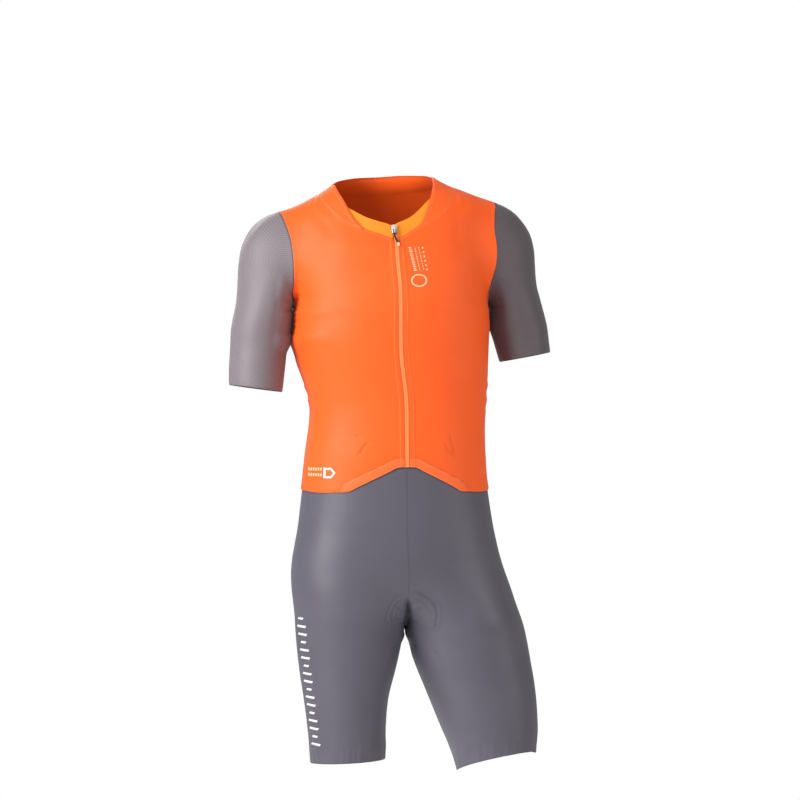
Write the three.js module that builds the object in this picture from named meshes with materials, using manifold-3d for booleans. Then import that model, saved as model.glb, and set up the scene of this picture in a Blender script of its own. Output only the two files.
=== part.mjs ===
// A short-sleeved, short-legged cycling skinsuit, worn: an orange sleeveless body over grey shorts, with grey
// sleeves, a full front zip, a neck band and a light neck insert. Millimetres, +Z up, the front faces -Y and
// +X is the wearer's left. The origin is the middle of the neck opening, at the height where it sits on the shoulders.
//
// The form comes from a general figure: stacks of oval sections for the trunk, arms and legs, blended where they meet.
// Each cloth piece is drawn on that figure by its four seams, filled in with a net of points, evened out on the
// figure's skin, and given a wall. Neighbours share the points of their seam and stand a seam gap apart.
import * as THREE from "three";
import Module from "manifold-3d";

const wasm = await Module();
wasm.setup();

// ---------------------------------------------------------------- driving dimensions

const WALL = 1.5; // every cloth wall
const SEAM_GAP = 0.3; // between neighbouring pieces
// How high each piece's outer face stands above the figure. The body is lifted where another piece lies under it.
const LAYER = { shorts: 1.5, insert: 1.5, body: 1.6, lifted: 3.8, pad: -2.9 };
const LIFT = { neckLow: -142, neckHigh: -107, neckWide: 105, hemHigh: -385, hemLow: -425 };
const ZIP = { halfWidth: 3.1, proud: 0.7, thick: 2 }; // coil strip between the two fronts
const PAD_THICK = 6;

const BODY_HEM = { centre: -444, corner: -481.5, cornerAt: 86, side: -482, back: -488, flat: 15 };
const SHORTS_TOP = -430; // the shorts' upper edge, hidden behind the body's hem
const CROTCH = { x: 33, y: 4, z: -696 };
const CUFF = { right: { inner: -329, outer: -318 }, left: { inner: -281, outer: -266 } };
const LEG_HEM = { right: { inner: -902, outer: -907, frontRise: 5 }, left: { inner: -921, outer: -897, frontRise: 17 } };
// The armholes' lowest points, just under the fold between body and arm, and the fold's own top.
const ARMPIT = { right: [-138.8, 10, -205], left: [163.3, 10, -198] };
const ARM_FOLD = { right: [-141.3, 10, -196], left: [166, 10, -188] };
const SHOULDER_TILT = 0.07; // the wearer's right shoulder is the lower one

// How many steps a net takes along each kind of seam.
const STEPS = { side: 12, armhole: 10, shoulder: 5, bandFront: 5, neckline: 3, bandBack: 12,
  hemSide: 6, hemSlope: 8, cuff: 13, inseam: 10, rise: 13, insert: 9, pad: 12, padWidth: 8 };

const COLOUR = {
  orange: { color: 0xf85f24, roughness: 0.62, metalness: 0 },
  amber: { color: 0xfb9a2c, roughness: 0.62, metalness: 0 },
  sleeveGrey: { color: 0x6f6a70, roughness: 0.7, metalness: 0 },
  shortsGrey: { color: 0x5f5f6a, roughness: 0.66, metalness: 0 },
  pad: { color: 0x3c3f48, roughness: 0.85, metalness: 0 },
  coil: { color: 0xff8a52, roughness: 0.5, metalness: 0 },
  metal: { color: 0xd9d6d2, roughness: 0.25, metalness: 0.9 },
  rubber: { color: 0x1c1614, roughness: 0.55, metalness: 0 },
};

// ---------------------------------------------------------------- the figure

// Rows run from high to low. x, y: the oval's middle; left, right, front, back: its reach each way;
// square: the oval's exponent; turn: degrees that it is turned towards the wearer's left.
const TRUNK = table(["z", "x", "y", "half", "front", "back", "square", "turn"], [
  [60, 0, 4, 56, 52, 54, 2.0, 0],
  [30, 0, 4, 61, 54, 57, 2.0, 0],
  [11, 0, 4, 68, 56, 60, 2.0, 0],
  [-1, 0, 4, 78, 58, 64, 2.0, 0],
  [-12, 1, 4, 99, 63, 70, 2.0, 0],
  [-23, 2.5, 4, 122, 69, 77, 2.0, 0],
  [-36, 4, 4, 147, 76, 84, 2.05, 0],
  [-51, 5.5, 4, 162, 83, 90, 2.1, 0],
  [-70, 6.5, 4, 166, 91, 96, 2.15, 0.5],
  [-95, 8, 4, 164, 101, 101, 2.2, 2.5],
  [-135, 10.3, 4, 158, 115, 106, 2.25, 1],
  [-184, 12.3, 4, 150, 126, 109, 2.3, 0],
  [-245, 12, 4, 152.5, 126, 105, 2.3, 0],
  [-280, 14.5, 4, 149, 121.5, 99.5, 2.25, 0],
  [-314, 20, 4, 142.5, 116, 94, 2.25, 0],
  [-350, 23, 4, 137.5, 111, 89, 2.2, 0],
  [-400, 20.3, 4, 138, 108, 89, 2.2, 2],
  [-445, 18.5, 4, 140.3, 107, 97, 2.2, 3],
  [-484, 18.7, 4, 144.8, 106, 107, 2.2, 3],
  [-540, 20, 4, 152.8, 105, 119, 2.2, 3],
  [-590, 21.5, 4, 162.8, 104, 126, 2.25, 3],
  [-630, 26, 4, 171, 101, 124, 2.3, 3],
  [-665, 31, 4, 176, 97, 113, 2.3, 3],
  [-700, 34, 4, 178, 90, 100, 2.3, 3],
]);

const ARM = {
  right: table(["z", "x", "y", "inner", "outer", "front", "back"], [
    [-135, -158, 8, 66, 67.5, 60, 60],
    [-188, -179.8, 8, 36.5, 49.5, 59, 59],
    [-228, -194, 6, 45.5, 43, 56, 56],
    [-260, -196.3, 4, 43.5, 42.3, 53, 53],
    [-290, -199, 2, 43, 41.5, 51, 51],
    [-330, -201, 0, 40, 39.5, 49, 49],
    [-360, -203, -2, 38, 38.5, 48, 48],
  ]),
  left: table(["z", "x", "y", "inner", "outer", "front", "back"], [
    [-118, 170.3, 8, 66, 69.5, 60, 60],
    [-160, 192.3, 8, 50, 50.5, 59, 59],
    [-190, 206.3, 6, 37, 44, 57, 57],
    [-225, 216.3, 4, 44, 42.5, 54, 54],
    [-255, 223, 2, 43.5, 39, 52, 52],
    [-285, 229, 0, 41, 37, 50, 50],
    [-320, 236, -3, 40, 36.5, 48, 48],
  ]),
};
const ARM_DOME = 86; // height of a shoulder's round top above its arm's first section

const LEG = {
  right: table(["z", "x", "y", "inner", "outer", "front", "back"], [
    [-560, -58, 6, 130, 82, 106, 120],
    [-622, -57, 6, 128, 83, 104, 121],
    [-650, -55.5, 6, 122, 83.5, 101, 114],
    [-670, -55, 6, 109, 83, 98, 107],
    [-690, -54, 5, 89.5, 83, 95, 100],
    [-701, -53.5, 4, 83.5, 83, 93, 97],
    [-723, -53.8, 3, 80, 81, 90, 91],
    [-763, -56.6, 1, 73.5, 74, 84, 82],
    [-807, -59.3, -2, 65, 65, 77, 74],
    [-851, -58.8, -5, 60, 60, 71, 67],
    [-889, -57.5, -8, 58, 58, 66, 61],
    [-935, -58, -10, 54, 54, 62, 57],
  ]),
  left: table(["z", "x", "y", "inner", "outer", "front", "back"], [
    [-560, 102, 6, 126, 76, 106, 120],
    [-622, 114, 6, 128, 83, 102, 121],
    [-650, 120, 5, 126, 86, 99, 114],
    [-670, 123.5, 4, 116, 88, 97, 107],
    [-690, 127, 2, 98.5, 92, 95, 101],
    [-701, 129, 1, 93.5, 92.5, 93, 98],
    [-723, 134, -1, 92, 92, 90, 92],
    [-746, 140, -3, 92, 90, 87, 88],
    [-798, 155, -8, 86.5, 83, 79, 79],
    [-856, 168, -14, 76, 72.5, 71, 69],
    [-895, 174, -18, 66, 63.5, 66, 62],
    [-940, 179, -22, 59, 58, 62, 57],
  ]),
};
// Between these heights the trunk's sections give way to the legs'.
const HIP_FADE = { from: -585, to: -685 };
const reversed = (run) => [...run].reverse();

// How widely two limbs are blended: [height, blend] at the top and the bottom of the change.
const ARM_BLEND = [[-120, 30], [-188, 13]];
const LEG_BLEND = [[-640, 46], [-715, 12]];

// A table with named columns, read between its rows along a smooth curve.
function table(columns, rows) {
  const heights = rows.map((r) => r[0]);
  const tangents = rows.map((_, i) => {
    const a = rows[Math.max(i - 1, 0)], b = rows[Math.min(i + 1, rows.length - 1)];
    return columns.map((_, c) => (b[c] - a[c]) / (b[0] - a[0]));
  });
  return (z) => {
    let i = 0;
    while (i < rows.length - 2 && z < heights[i + 1]) i++;
    const span = heights[i + 1] - heights[i];
    const t = (z - heights[i]) / span;
    const s = THREE.MathUtils.clamp(t, 0, 1);
    const s2 = s * s, s3 = s2 * s;
    const value = (c) => {
      const a = rows[i][c], b = rows[i + 1][c];
      const inside = (2 * s3 - 3 * s2 + 1) * a + (3 * s2 - 2 * s3) * b
        + ((s3 - 2 * s2 + s) * tangents[i][c] + (s3 - s2) * tangents[i + 1][c]) * span;
      const beyond = (t - s) * span * tangents[i + (t > 1 ? 1 : 0)][c];
      return inside + (t === s ? 0 : beyond);
    };
    return Object.fromEntries(columns.map((name, c) => [name, c === 0 ? z : value(c)]));
  };
}

const smooth = (t) => THREE.MathUtils.smoothstep(t, 0, 1);
const between = (z, [[zTop, top], [zLow, low]]) => THREE.MathUtils.lerp(top, low, smooth((z - zTop) / (zLow - zTop)));

// The smaller of two distances, with a fillet of that width where they are close.
function blend(a, b, width) {
  const h = Math.max(width - Math.abs(a - b), 0) / width;
  return Math.min(a, b) - h * h * width * 0.25;
}

// How far (dx, dy) lies outside an oval with its own reach each way, along the ray from its middle.
function ovalDistance(dx, dy, reach, power) {
  const a = dx < 0 ? reach.left : reach.right;
  const b = dy < 0 ? reach.front : reach.back;
  const rho = (Math.abs(dx / a) ** power + Math.abs(dy / b) ** power) ** (1 / power);
  const r = Math.hypot(dx, dy);
  return rho < 1e-6 ? -Math.min(a, b) : r - r / rho;
}

// The shoulders tilt and the tilt fades out at the waist: the height at which a point meets the trunk's sections.
const tiltAt = (z) => SHOULDER_TILT * (1 - smooth((z + 150) / -250));
const trunkLevel = (x, z) => z - x * tiltAt(z);

function trunkDistance(p) {
  const s = TRUNK(trunkLevel(p.x, p.z));
  const turn = THREE.MathUtils.degToRad(s.turn);
  const dx = p.x - s.x, dy = p.y - s.y;
  const x = dx * Math.cos(turn) + dy * Math.sin(turn);
  const y = dy * Math.cos(turn) - dx * Math.sin(turn);
  return ovalDistance(x, y, { left: s.half, right: s.half, front: s.front, back: s.back }, s.square);
}

// A limb is a stack of ovals; above its first section it closes with a round top of the given height.
function limbDistance(p, rows, side, top, dome) {
  const s = rows(Math.min(p.z, top));
  const reach = side === "right"
    ? { left: s.outer, right: s.inner, front: s.front, back: s.back }
    : { left: s.inner, right: s.outer, front: s.front, back: s.back };
  const flat = ovalDistance(p.x - s.x, p.y - s.y, reach, 2);
  if (p.z <= top || !dome) return flat;
  const size = Math.hypot(p.x - s.x, p.y - s.y);
  const rim = size - flat;
  const rho = Math.hypot(size / rim, (p.z - top) / dome);
  return (Math.hypot(size, p.z - top)) * (1 - 1 / Math.max(rho, 1e-6));
}

// Signed distance, near enough, from the figure's skin.
function figure(p) {
  const fade = smooth((p.z - HIP_FADE.from) / (HIP_FADE.to - HIP_FADE.from));
  let d = fade < 1 ? trunkDistance(p) : 0;
  if (fade > 0) {
    const right = limbDistance(p, LEG.right, "right", Infinity, 0);
    const left = limbDistance(p, LEG.left, "left", Infinity, 0);
    d = d * (1 - fade) + blend(right, left, between(p.z, LEG_BLEND)) * fade;
  }
  if (p.z > -400) {
    const width = between(p.z, ARM_BLEND);
    d = blend(d, limbDistance(p, ARM.right, "right", -135, ARM_DOME), width);
    d = blend(d, limbDistance(p, ARM.left, "left", -118, ARM_DOME), width);
  }
  return d;
}

function slope(p) {
  const h = 0.5;
  const at = (x, y, z) => figure(new THREE.Vector3(p.x + x, p.y + y, p.z + z));
  return new THREE.Vector3(at(h, 0, 0) - at(-h, 0, 0), at(0, h, 0) - at(0, -h, 0), at(0, 0, h) - at(0, 0, -h))
    .multiplyScalar(1 / (2 * h));
}
const outward = (p) => slope(p).normalize();

// The point of the figure's skin nearest to a guide point, or near it.
function skin(guide, rounds = 12) {
  const p = guide.clone();
  for (let i = 0; i < rounds; i++) {
    const g = slope(p), d = figure(p);
    if (Math.abs(d) < 1e-3) break;
    p.add(g.multiplyScalar(-d / Math.max(g.lengthSq(), 0.05)).clampLength(0, 15));
  }
  return p;
}

// ---------------------------------------------------------------- guide points and seams

const V = (x, y, z) => new THREE.Vector3(x, y, z);

// A point of the trunk, x to the side of its middle at a height, on its front (-1) or back (+1).
function onTrunk(x, level, face) {
  const s = TRUNK(level);
  const share = Math.min(Math.abs(x) / s.half, 1);
  const y = face * (face < 0 ? s.front : s.back) * (1 - share ** s.square) ** (1 / s.square);
  const turn = THREE.MathUtils.degToRad(s.turn);
  const wx = s.x + x * Math.cos(turn) - y * Math.sin(turn);
  return V(wx, s.y + y * Math.cos(turn) + x * Math.sin(turn), level + wx * tiltAt(level));
}

// A point of a limb's section, by its angle: 0 outwards, 90 to the front, 180 inwards, 270 to the back.
function onLimb(rows, side, degrees, z) {
  const s = rows(z);
  const a = THREE.MathUtils.degToRad(degrees);
  const out = side === "right" ? -1 : 1;
  const dx = Math.cos(a), dy = -Math.sin(a);
  return V(s.x + out * dx * (dx > 0 ? s.outer : s.inner), s.y + dy * (dy < 0 ? s.front : s.back), z);
}

// A run of seam: a smooth curve through guide points, cut into steps and laid on the skin.
// The steps are equal, or shorten towards the curve's end when crowd is over 1.
function seam(guides, steps, crowd = 1) {
  const curve = new THREE.CatmullRomCurve3(guides, false, "centripetal");
  curve.arcLengthDivisions = 400;
  return [...Array(steps + 1).keys()].map((i) => skin(curve.getPointAt(1 - (1 - i / steps) ** crowd)));
}
const joined = (...runs) => runs.flatMap((run, i) => (i ? run.slice(1) : run));
const SIGN = { right: -1, left: 1 };

// The neckline, by side: the band's free edge, its seam to the body, and the insert's edges, each from outside in.
const NECK = { bandAt: 103, bandLevel: -14, vLevel: -98, zipTop: -74, backLevel: 14, bandBackLevel: -14, seamY: 10,
  right: { shoulder: 74, edge: [[75.5, -17.5], [69, -38], [61.5, -58]], corner: [49.3, -78],
    band: [[101.5, -28], [92, -46], [80, -61], [65.5, -71.5]], neckline: [27.5, -88.2],
    low: [[69.6, -45.5], [64.5, -60], [53, -81], [30, -94]], top: [[70.2, -40.5], [42.5, -59], [15.5, -70.5]] },
  left: { shoulder: 69.5, edge: [[69, -17.5], [59.8, -38], [51.2, -57]], corner: [39.5, -76],
    band: [[101.5, -28], [91, -46], [75.5, -60], [57.5, -69.5]], neckline: [17, -88.5],
    low: [[61.2, -39.5], [54, -60], [43, -79.5], [19, -93.5]], top: [[61.6, -34.5], [36, -56], [22, -65]] } };
const zipAside = (level) => -4.3 * smooth((level + 182) / 76); // the zip leans to the wearer's right towards the neck
const onZip = (level) => onTrunk(zipAside(level), level, -1);
const centreFrontLevels = [BODY_HEM.centre, -400, -340, -270, -200, -165, -140, -118, NECK.vLevel];

const seams = {
  centreFront: seam(centreFrontLevels.map(onZip), STEPS.side + STEPS.armhole),
  centreNeck: seam([onZip(NECK.vLevel), onZip(NECK.zipTop)], STEPS.neckline),
};
for (const side of ["right", "left"]) {
  const k = SIGN[side];
  const armpit = V(...ARMPIT[side]);
  const tip = onTrunk(k * 166, -46, -1).setY(NECK.seamY);
  const shoulderEnd = onTrunk(k * NECK.bandAt, NECK.bandLevel, -1).setY(NECK.seamY);
  const neck = NECK[side];
  const inFront = ([x, level]) => onTrunk(k * x, level, -1);
  const corner = inFront(neck.corner);
  const bandCorner = inFront([neck.corner[0] + 3.2, neck.corner[1] - 1]);
  const hemSide = onTrunk(k * TRUNK(BODY_HEM.side).half, BODY_HEM.side, -1);
  const hemCorner = onTrunk(k * BODY_HEM.cornerAt, BODY_HEM.corner, -1);
  const sideGuides = [-430, -370, -310, -250].map((z) => onTrunk(k * TRUNK(z).half, z, -1));
  seams[side] = {
    side: seam([hemSide, ...sideGuides, armpit], STEPS.side, 1.2),
    armholeFront: reversed(seam([tip, onTrunk(k * (158.3 + 2 * k), -80, -1).setY(-42), onTrunk(k * (158.5 + 3.5 * k), -120, -1).setY(-52),
      onTrunk(k * (155.2 - 1.3 * k), -168, -1).setY(-36), armpit], STEPS.armhole, 1.15)),
    armholeBack: reversed(seam([tip, onTrunk(k * 160, -80, -1).setY(54), onTrunk(k * 156, -120, -1).setY(66),
      onTrunk(k * 153, -168, -1).setY(52), armpit], STEPS.armhole, 1.15)),
    shoulder: seam([tip, shoulderEnd], STEPS.shoulder),
    bandFront: seam([shoulderEnd, ...neck.band.map(inFront), bandCorner], STEPS.bandFront),
    bandEnd: seam([bandCorner, corner], 1),
    neckline: seam([corner, inFront(neck.neckline), onZip(NECK.vLevel)], STEPS.neckline),
    neckEdge: seam([onTrunk(k * neck.shoulder, -1.5, -1).setY(NECK.seamY), ...neck.edge.map(inFront), corner],
      STEPS.bandFront),
    hemSide: seam([hemSide, onTrunk(k * 122, BODY_HEM.side - 2, -1), hemCorner], STEPS.hemSide),
    hemSlope: joined(seam([hemCorner, onTrunk(k * BODY_HEM.flat, BODY_HEM.centre - 1, -1)], STEPS.hemSlope - 1),
      seam([onTrunk(k * BODY_HEM.flat, BODY_HEM.centre - 1, -1), onTrunk(0, BODY_HEM.centre, -1)], 1)),
    insertLow: seam([...neck.low.map(inFront), onZip(NECK.vLevel - 6)], STEPS.insert),
    insertTop: seam([...neck.top.map(inFront), onZip(NECK.zipTop)], STEPS.insert),
  };
}
const acrossBack = (reach, level) => [1, 0.5, 0, -0.5, -1].map((t) => onTrunk(t * reach, level, 1));
seams.bandBack = seam([seams.left.shoulder.at(-1), ...acrossBack(70, NECK.bandBackLevel), seams.right.shoulder.at(-1)],
  STEPS.bandBack);
seams.neckBack = seam([seams.left.neckEdge[0], ...acrossBack(50, NECK.backLevel - 3).slice(0, 1),
  ...acrossBack(26, NECK.backLevel).slice(0, 5), ...acrossBack(50, NECK.backLevel - 3).slice(4), seams.right.neckEdge[0]],
  STEPS.bandBack);
seams.hemBack = seam([seams.left.side[0], ...acrossBack(100, BODY_HEM.back), seams.right.side[0]],
  2 * STEPS.shoulder + STEPS.bandBack);

// The seam between the two halves of the shorts, from the crotch up the front and up the back.
const crotch = V(CROTCH.x, CROTCH.y, CROTCH.z);
seams.riseFront = seam([crotch, V(33, -34, -690), V(31.5, -64, -675), V(29, -86, -650), onTrunk(0, -610, -1),
  onTrunk(0, -560, -1), onTrunk(0, -500, -1), onTrunk(0, SHORTS_TOP, -1)], STEPS.rise);
seams.riseBack = seam([crotch, V(33, 42, -690), V(31.5, 78, -671), V(29, 104, -640), onTrunk(0, -600, 1),
  onTrunk(0, -560, 1), onTrunk(0, -500, 1), onTrunk(0, BODY_HEM.back + 20, 1)], STEPS.rise);

// A loop round a limb, from inside over the front, outside and back to the inside.
function loop(rows, side, heights, steps) {
  const guides = [...Array(13).keys()].map((i) => {
    const degrees = 180 - i * 30;
    const outer = (Math.cos(THREE.MathUtils.degToRad(degrees)) + 1) / 2;
    const rise = (heights.frontRise || 0) * Math.max(Math.sin(THREE.MathUtils.degToRad(degrees)), 0);
    return onLimb(rows, side, degrees, THREE.MathUtils.lerp(heights.inner, heights.outer, outer) + rise);
  });
  return seam(guides, steps);
}
const loopSteps = 2 * STEPS.armhole;
for (const side of ["right", "left"]) {
  const k = SIGN[side];
  const own = seams[side];
  const armpit = own.side.at(-1);
  own.cuff = loop(ARM[side], side, CUFF[side], loopSteps);
  const fold = V(...ARM_FOLD[side]);
  const underarm = [0, 0.25, 0.5, 0.75, 0.92].map((t) =>
    onLimb(ARM[side], side, 180, THREE.MathUtils.lerp(CUFF[side].inner, fold.z, t)));
  own.underarm = seam([own.cuff[0], ...underarm.slice(1), fold, armpit], STEPS.cuff, 1.25);
  own.legHem = loop(LEG[side], side, LEG_HEM[side], loopSteps);
  own.inseam = seam([own.legHem[0], ...[-860, -810, -760, -728].map((z) => onLimb(LEG[side], side, 180, z)), crotch],
    STEPS.inseam);
  own.waist = seam([seams.riseFront.at(-1), onTrunk(k * 14, SHORTS_TOP - 1, -1), onTrunk(k * 88, BODY_HEM.corner + 18, -1),
    onTrunk(k * 130, BODY_HEM.side + 18, -1), ...[130, 88, 40].map((x) => onTrunk(k * x, BODY_HEM.back + 20, 1)),
    seams.riseBack.at(-1)], loopSteps);
}

// ---------------------------------------------------------------- nets and walls

// A net of points between four seams: bottom and top run to the viewer's right, left and right run up.
function net({ bottom, top, left, right }, rounds = 60) {
  const columns = bottom.length - 1, rows = left.length - 1;
  if (top.length !== bottom.length || right.length !== left.length)
    throw new Error(`seams don't match: ${[bottom, top, left, right].map((s) => s.length)}`);
  const grid = left.map((_, j) => bottom.map((_, i) => {
    const u = i / columns, v = j / rows;
    return V(0, 0, 0).addScaledVector(bottom[i], 1 - v).addScaledVector(top[i], v)
      .addScaledVector(left[j], 1 - u).addScaledVector(right[j], u)
      .addScaledVector(bottom[0], -(1 - u) * (1 - v)).addScaledVector(bottom[columns], -u * (1 - v))
      .addScaledVector(top[0], -(1 - u) * v).addScaledVector(top[columns], -u * v);
  }));
  left.forEach((p, j) => { grid[j][0] = p.clone(); });
  right.forEach((p, j) => { grid[j][columns] = p.clone(); });
  bottom.forEach((p, i) => { grid[0][i] = p.clone(); });
  top.forEach((p, i) => { grid[rows][i] = p.clone(); });
  for (let round = 0; round < rounds; round++)
    for (let j = 1; j < rows; j++)
      for (let i = 1; i < columns; i++) {
        const p = V(0, 0, 0).add(grid[j][i - 1]).add(grid[j][i + 1]).add(grid[j - 1][i]).add(grid[j + 1][i]);
        grid[j][i] = skin(p.multiplyScalar(0.25), round < 3 ? 12 : 1);
      }
  return grid;
}

// Moves each edge of a net inwards, by its own amount.
function inset(grid, amounts) {
  const rows = grid.length - 1, columns = grid[0].length - 1;
  const moved = grid.map((row) => row.map((p) => p.clone()));
  const push = (j, i, from, to, amount) => {
    const along = V(0, 0, 0).subVectors(to, from);
    const step = typeof amount === "function" ? amount(grid[j][i]) : amount;
    moved[j][i].addScaledVector(V(0, 0, 0).crossVectors(outward(grid[j][i]), along).normalize(), step);
  };
  for (let j = 0; j <= rows; j++) {
    const low = grid[Math.max(j - 1, 0)], high = grid[Math.min(j + 1, rows)];
    push(j, 0, high[0], low[0], amounts.left);
    push(j, columns, low[columns], high[columns], amounts.right);
  }
  for (let i = 0; i <= columns; i++) {
    const a = Math.max(i - 1, 0), b = Math.min(i + 1, columns);
    push(0, i, grid[0][a], grid[0][b], amounts.bottom);
    push(rows, i, grid[rows][b], grid[rows][a], amounts.top);
  }
  return moved;
}

// A closed wall on a net: an outer face at its level above the skin, an inner face a wall below it, and a rim.
// Pieces for the wearer's left have the other diagonals, so that they mirror those for the right.
function wallGeometry(grid, level, thick, mirrored = false) {
  const rows = grid.length, columns = grid[0].length;
  const position = [];
  for (const depth of [0, thick])
    for (const row of grid)
      for (const p of row) {
        const q = p.clone().addScaledVector(outward(p), level(p) - depth);
        position.push(q.x, q.y, q.z);
      }
  const index = [];
  const at = (face, j, i) => (face * rows + j) * columns + i;
  const quad = (a, b, c, d, other = false) => index.push(...(other ? [a, b, d, b, c, d] : [a, b, c, a, c, d]));
  for (let j = 0; j < rows - 1; j++)
    for (let i = 0; i < columns - 1; i++) {
      quad(at(0, j, i), at(0, j, i + 1), at(0, j + 1, i + 1), at(0, j + 1, i), mirrored);
      quad(at(1, j, i), at(1, j + 1, i), at(1, j + 1, i + 1), at(1, j, i + 1), mirrored);
    }
  for (let i = 0; i < columns - 1; i++) {
    quad(at(1, 0, i), at(1, 0, i + 1), at(0, 0, i + 1), at(0, 0, i));
    quad(at(0, rows - 1, i), at(0, rows - 1, i + 1), at(1, rows - 1, i + 1), at(1, rows - 1, i));
  }
  for (let j = 0; j < rows - 1; j++) {
    quad(at(0, j, 0), at(0, j + 1, 0), at(1, j + 1, 0), at(1, j, 0));
    quad(at(1, j, columns - 1), at(1, j + 1, columns - 1), at(0, j + 1, columns - 1), at(0, j, columns - 1));
  }
  const geometry = new THREE.BufferGeometry();
  geometry.setAttribute("position", new THREE.Float32BufferAttribute(position, 3));
  geometry.setIndex(index);
  return geometry;
}

const flat = (height) => () => height;
function bodyLevel(p) {
  const aside = Math.abs(p.x - TRUNK(p.z).x);
  const neck = smooth((p.z - LIFT.neckLow) / (LIFT.neckHigh - LIFT.neckLow)) * smooth((LIFT.neckWide - aside) / 30);
  const hem = smooth((p.z - LIFT.hemHigh) / (LIFT.hemLow - LIFT.hemHigh));
  return THREE.MathUtils.lerp(LAYER.body, LAYER.lifted, Math.max(neck, hem));
}
function zipLevel(p) {
  const above = smooth((p.z - NECK.vLevel) / 12);
  return THREE.MathUtils.lerp(bodyLevel(p), LAYER.insert, above) + ZIP.proud;
}

const suit = new THREE.Group();
function piece(name, geometry, colour, parent = suit) {
  const mesh = new THREE.Mesh(geometry, new THREE.MeshStandardMaterial(COLOUR[colour]));
  mesh.name = name;
  parent.add(mesh);
  return mesh;
}

const seamInset = SEAM_GAP / 2;
const zipInset = ZIP.halfWidth + SEAM_GAP;
// Where the armhole runs through the fold under the arm, its edges stand further back.
const inFold = (p) => smooth((-155 - p.z) / 20) * smooth((p.z + 230) / 15);
const sleeveInset = (p) => seamInset + 1.4 * inFold(p);
const bodyInset = (p) => seamInset + 0.3 * inFold(p);
function cloth(name, sides, colour, level, insets = {}, thick = WALL) {
  const edges = { left: seamInset, right: seamInset, bottom: 0, top: seamInset, ...insets };
  piece(name, wallGeometry(inset(net(sides), edges), level, thick, name.endsWith("left")), colour);
}

// ---------------------------------------------------------------- the cloth pieces

const R = seams.right, L = seams.left;

cloth("front_right", {
  bottom: joined(R.hemSide, R.hemSlope), top: joined(R.shoulder, R.bandFront, R.bandEnd, R.neckline),
  left: joined(R.side, R.armholeFront), right: seams.centreFront,
}, "orange", bodyLevel, { left: bodyInset, right: zipInset });
cloth("front_left", {
  bottom: joined(reversed(L.hemSlope), reversed(L.hemSide)),
  top: joined(reversed(L.neckline), reversed(L.bandEnd), reversed(L.bandFront), reversed(L.shoulder)),
  left: seams.centreFront, right: joined(L.side, L.armholeFront),
}, "orange", bodyLevel, { left: zipInset, right: bodyInset });
cloth("back", {
  bottom: seams.hemBack, top: joined(L.shoulder, seams.bandBack, reversed(R.shoulder)),
  left: joined(L.side, L.armholeBack), right: joined(R.side, R.armholeBack),
}, "orange", bodyLevel, { left: bodyInset, right: bodyInset });
cloth("neck_band", {
  bottom: joined(reversed(L.bandFront), seams.bandBack, R.bandFront),
  top: joined(reversed(L.neckEdge), seams.neckBack, R.neckEdge),
  left: seam([L.bandEnd[0], L.bandEnd[1]], 2), right: seam([R.bandEnd[0], R.bandEnd[1]], 2),
}, "orange", bodyLevel, { bottom: seamInset, top: 0 });

const insertEnd = (own) => seam([own.insertLow[0], own.insertTop[0]], 3);
const insertZip = seam([onZip(NECK.vLevel - 6), onZip(NECK.zipTop)], 3);
cloth("neck_insert_right", { bottom: R.insertLow, top: R.insertTop, left: insertEnd(R), right: insertZip },
  "amber", flat(LAYER.insert), { left: 0, top: 0, right: zipInset + 0.3 });
cloth("neck_insert_left", { bottom: reversed(L.insertLow), top: reversed(L.insertTop), left: insertZip,
  right: insertEnd(L) }, "amber", flat(LAYER.insert), { right: 0, top: 0, left: zipInset + 0.3 });

cloth("sleeve_right", { bottom: reversed(R.cuff), top: joined(R.armholeBack, reversed(R.armholeFront)),
  left: R.underarm, right: R.underarm }, "sleeveGrey", bodyLevel, { top: sleeveInset });
cloth("sleeve_left", { bottom: L.cuff, top: joined(L.armholeFront, reversed(L.armholeBack)),
  left: L.underarm, right: L.underarm }, "sleeveGrey", bodyLevel, { top: sleeveInset });

cloth("shorts_right", { bottom: reversed(R.legHem), top: reversed(R.waist), left: joined(R.inseam, seams.riseBack),
  right: joined(R.inseam, seams.riseFront) }, "shortsGrey", flat(LAYER.shorts), { top: 0 });
cloth("shorts_left", { bottom: L.legHem, top: L.waist, left: joined(L.inseam, seams.riseFront),
  right: joined(L.inseam, seams.riseBack) }, "shortsGrey", flat(LAYER.shorts), { top: 0 });

// The pad: its front edge is an arc below the belly, its back edge lies across the seat.
const padFront = seam([V(-7, -84, -668), V(4, -94, -652), V(29, -98, -643), V(58, -94, -650), V(70, -84, -666)], STEPS.padWidth);
const padBack = seam([V(-50, 116, -608), V(-10, 126, -598), V(29, 126, -596), V(68, 126, -598), V(108, 114, -608)], STEPS.padWidth);
cloth("seat_pad", {
  bottom: reversed(padFront), top: reversed(padBack),
  left: seam([padFront.at(-1), V(60, -48, -715), V(47, 4, -738), V(61, 52, -716), V(80, 92, -668), padBack.at(-1)], STEPS.pad),
  right: seam([padFront[0], V(10, -48, -715), V(21, 4, -738), V(9, 52, -716), V(-16, 92, -668), padBack[0]], STEPS.pad),
}, "pad", flat(LAYER.pad), { left: 0, right: 0, top: 0 }, PAD_THICK);

// ---------------------------------------------------------------- the zip

const zipLine = joined(seams.centreFront, seams.centreNeck);
const zipGrid = zipLine.map((p, j) => {
  const along = V(0, 0, 0).subVectors(zipLine[Math.min(j + 1, zipLine.length - 1)], zipLine[Math.max(j - 1, 0)]);
  const right = V(0, 0, 0).crossVectors(along, outward(p)).normalize();
  return [-1, 0, 1].map((t) => skin(p.clone().addScaledVector(right, t * ZIP.halfWidth)));
});
piece("zip_coil", wallGeometry(zipGrid, zipLevel, ZIP.thick), "coil");

const { Manifold, CrossSection } = wasm;
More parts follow.
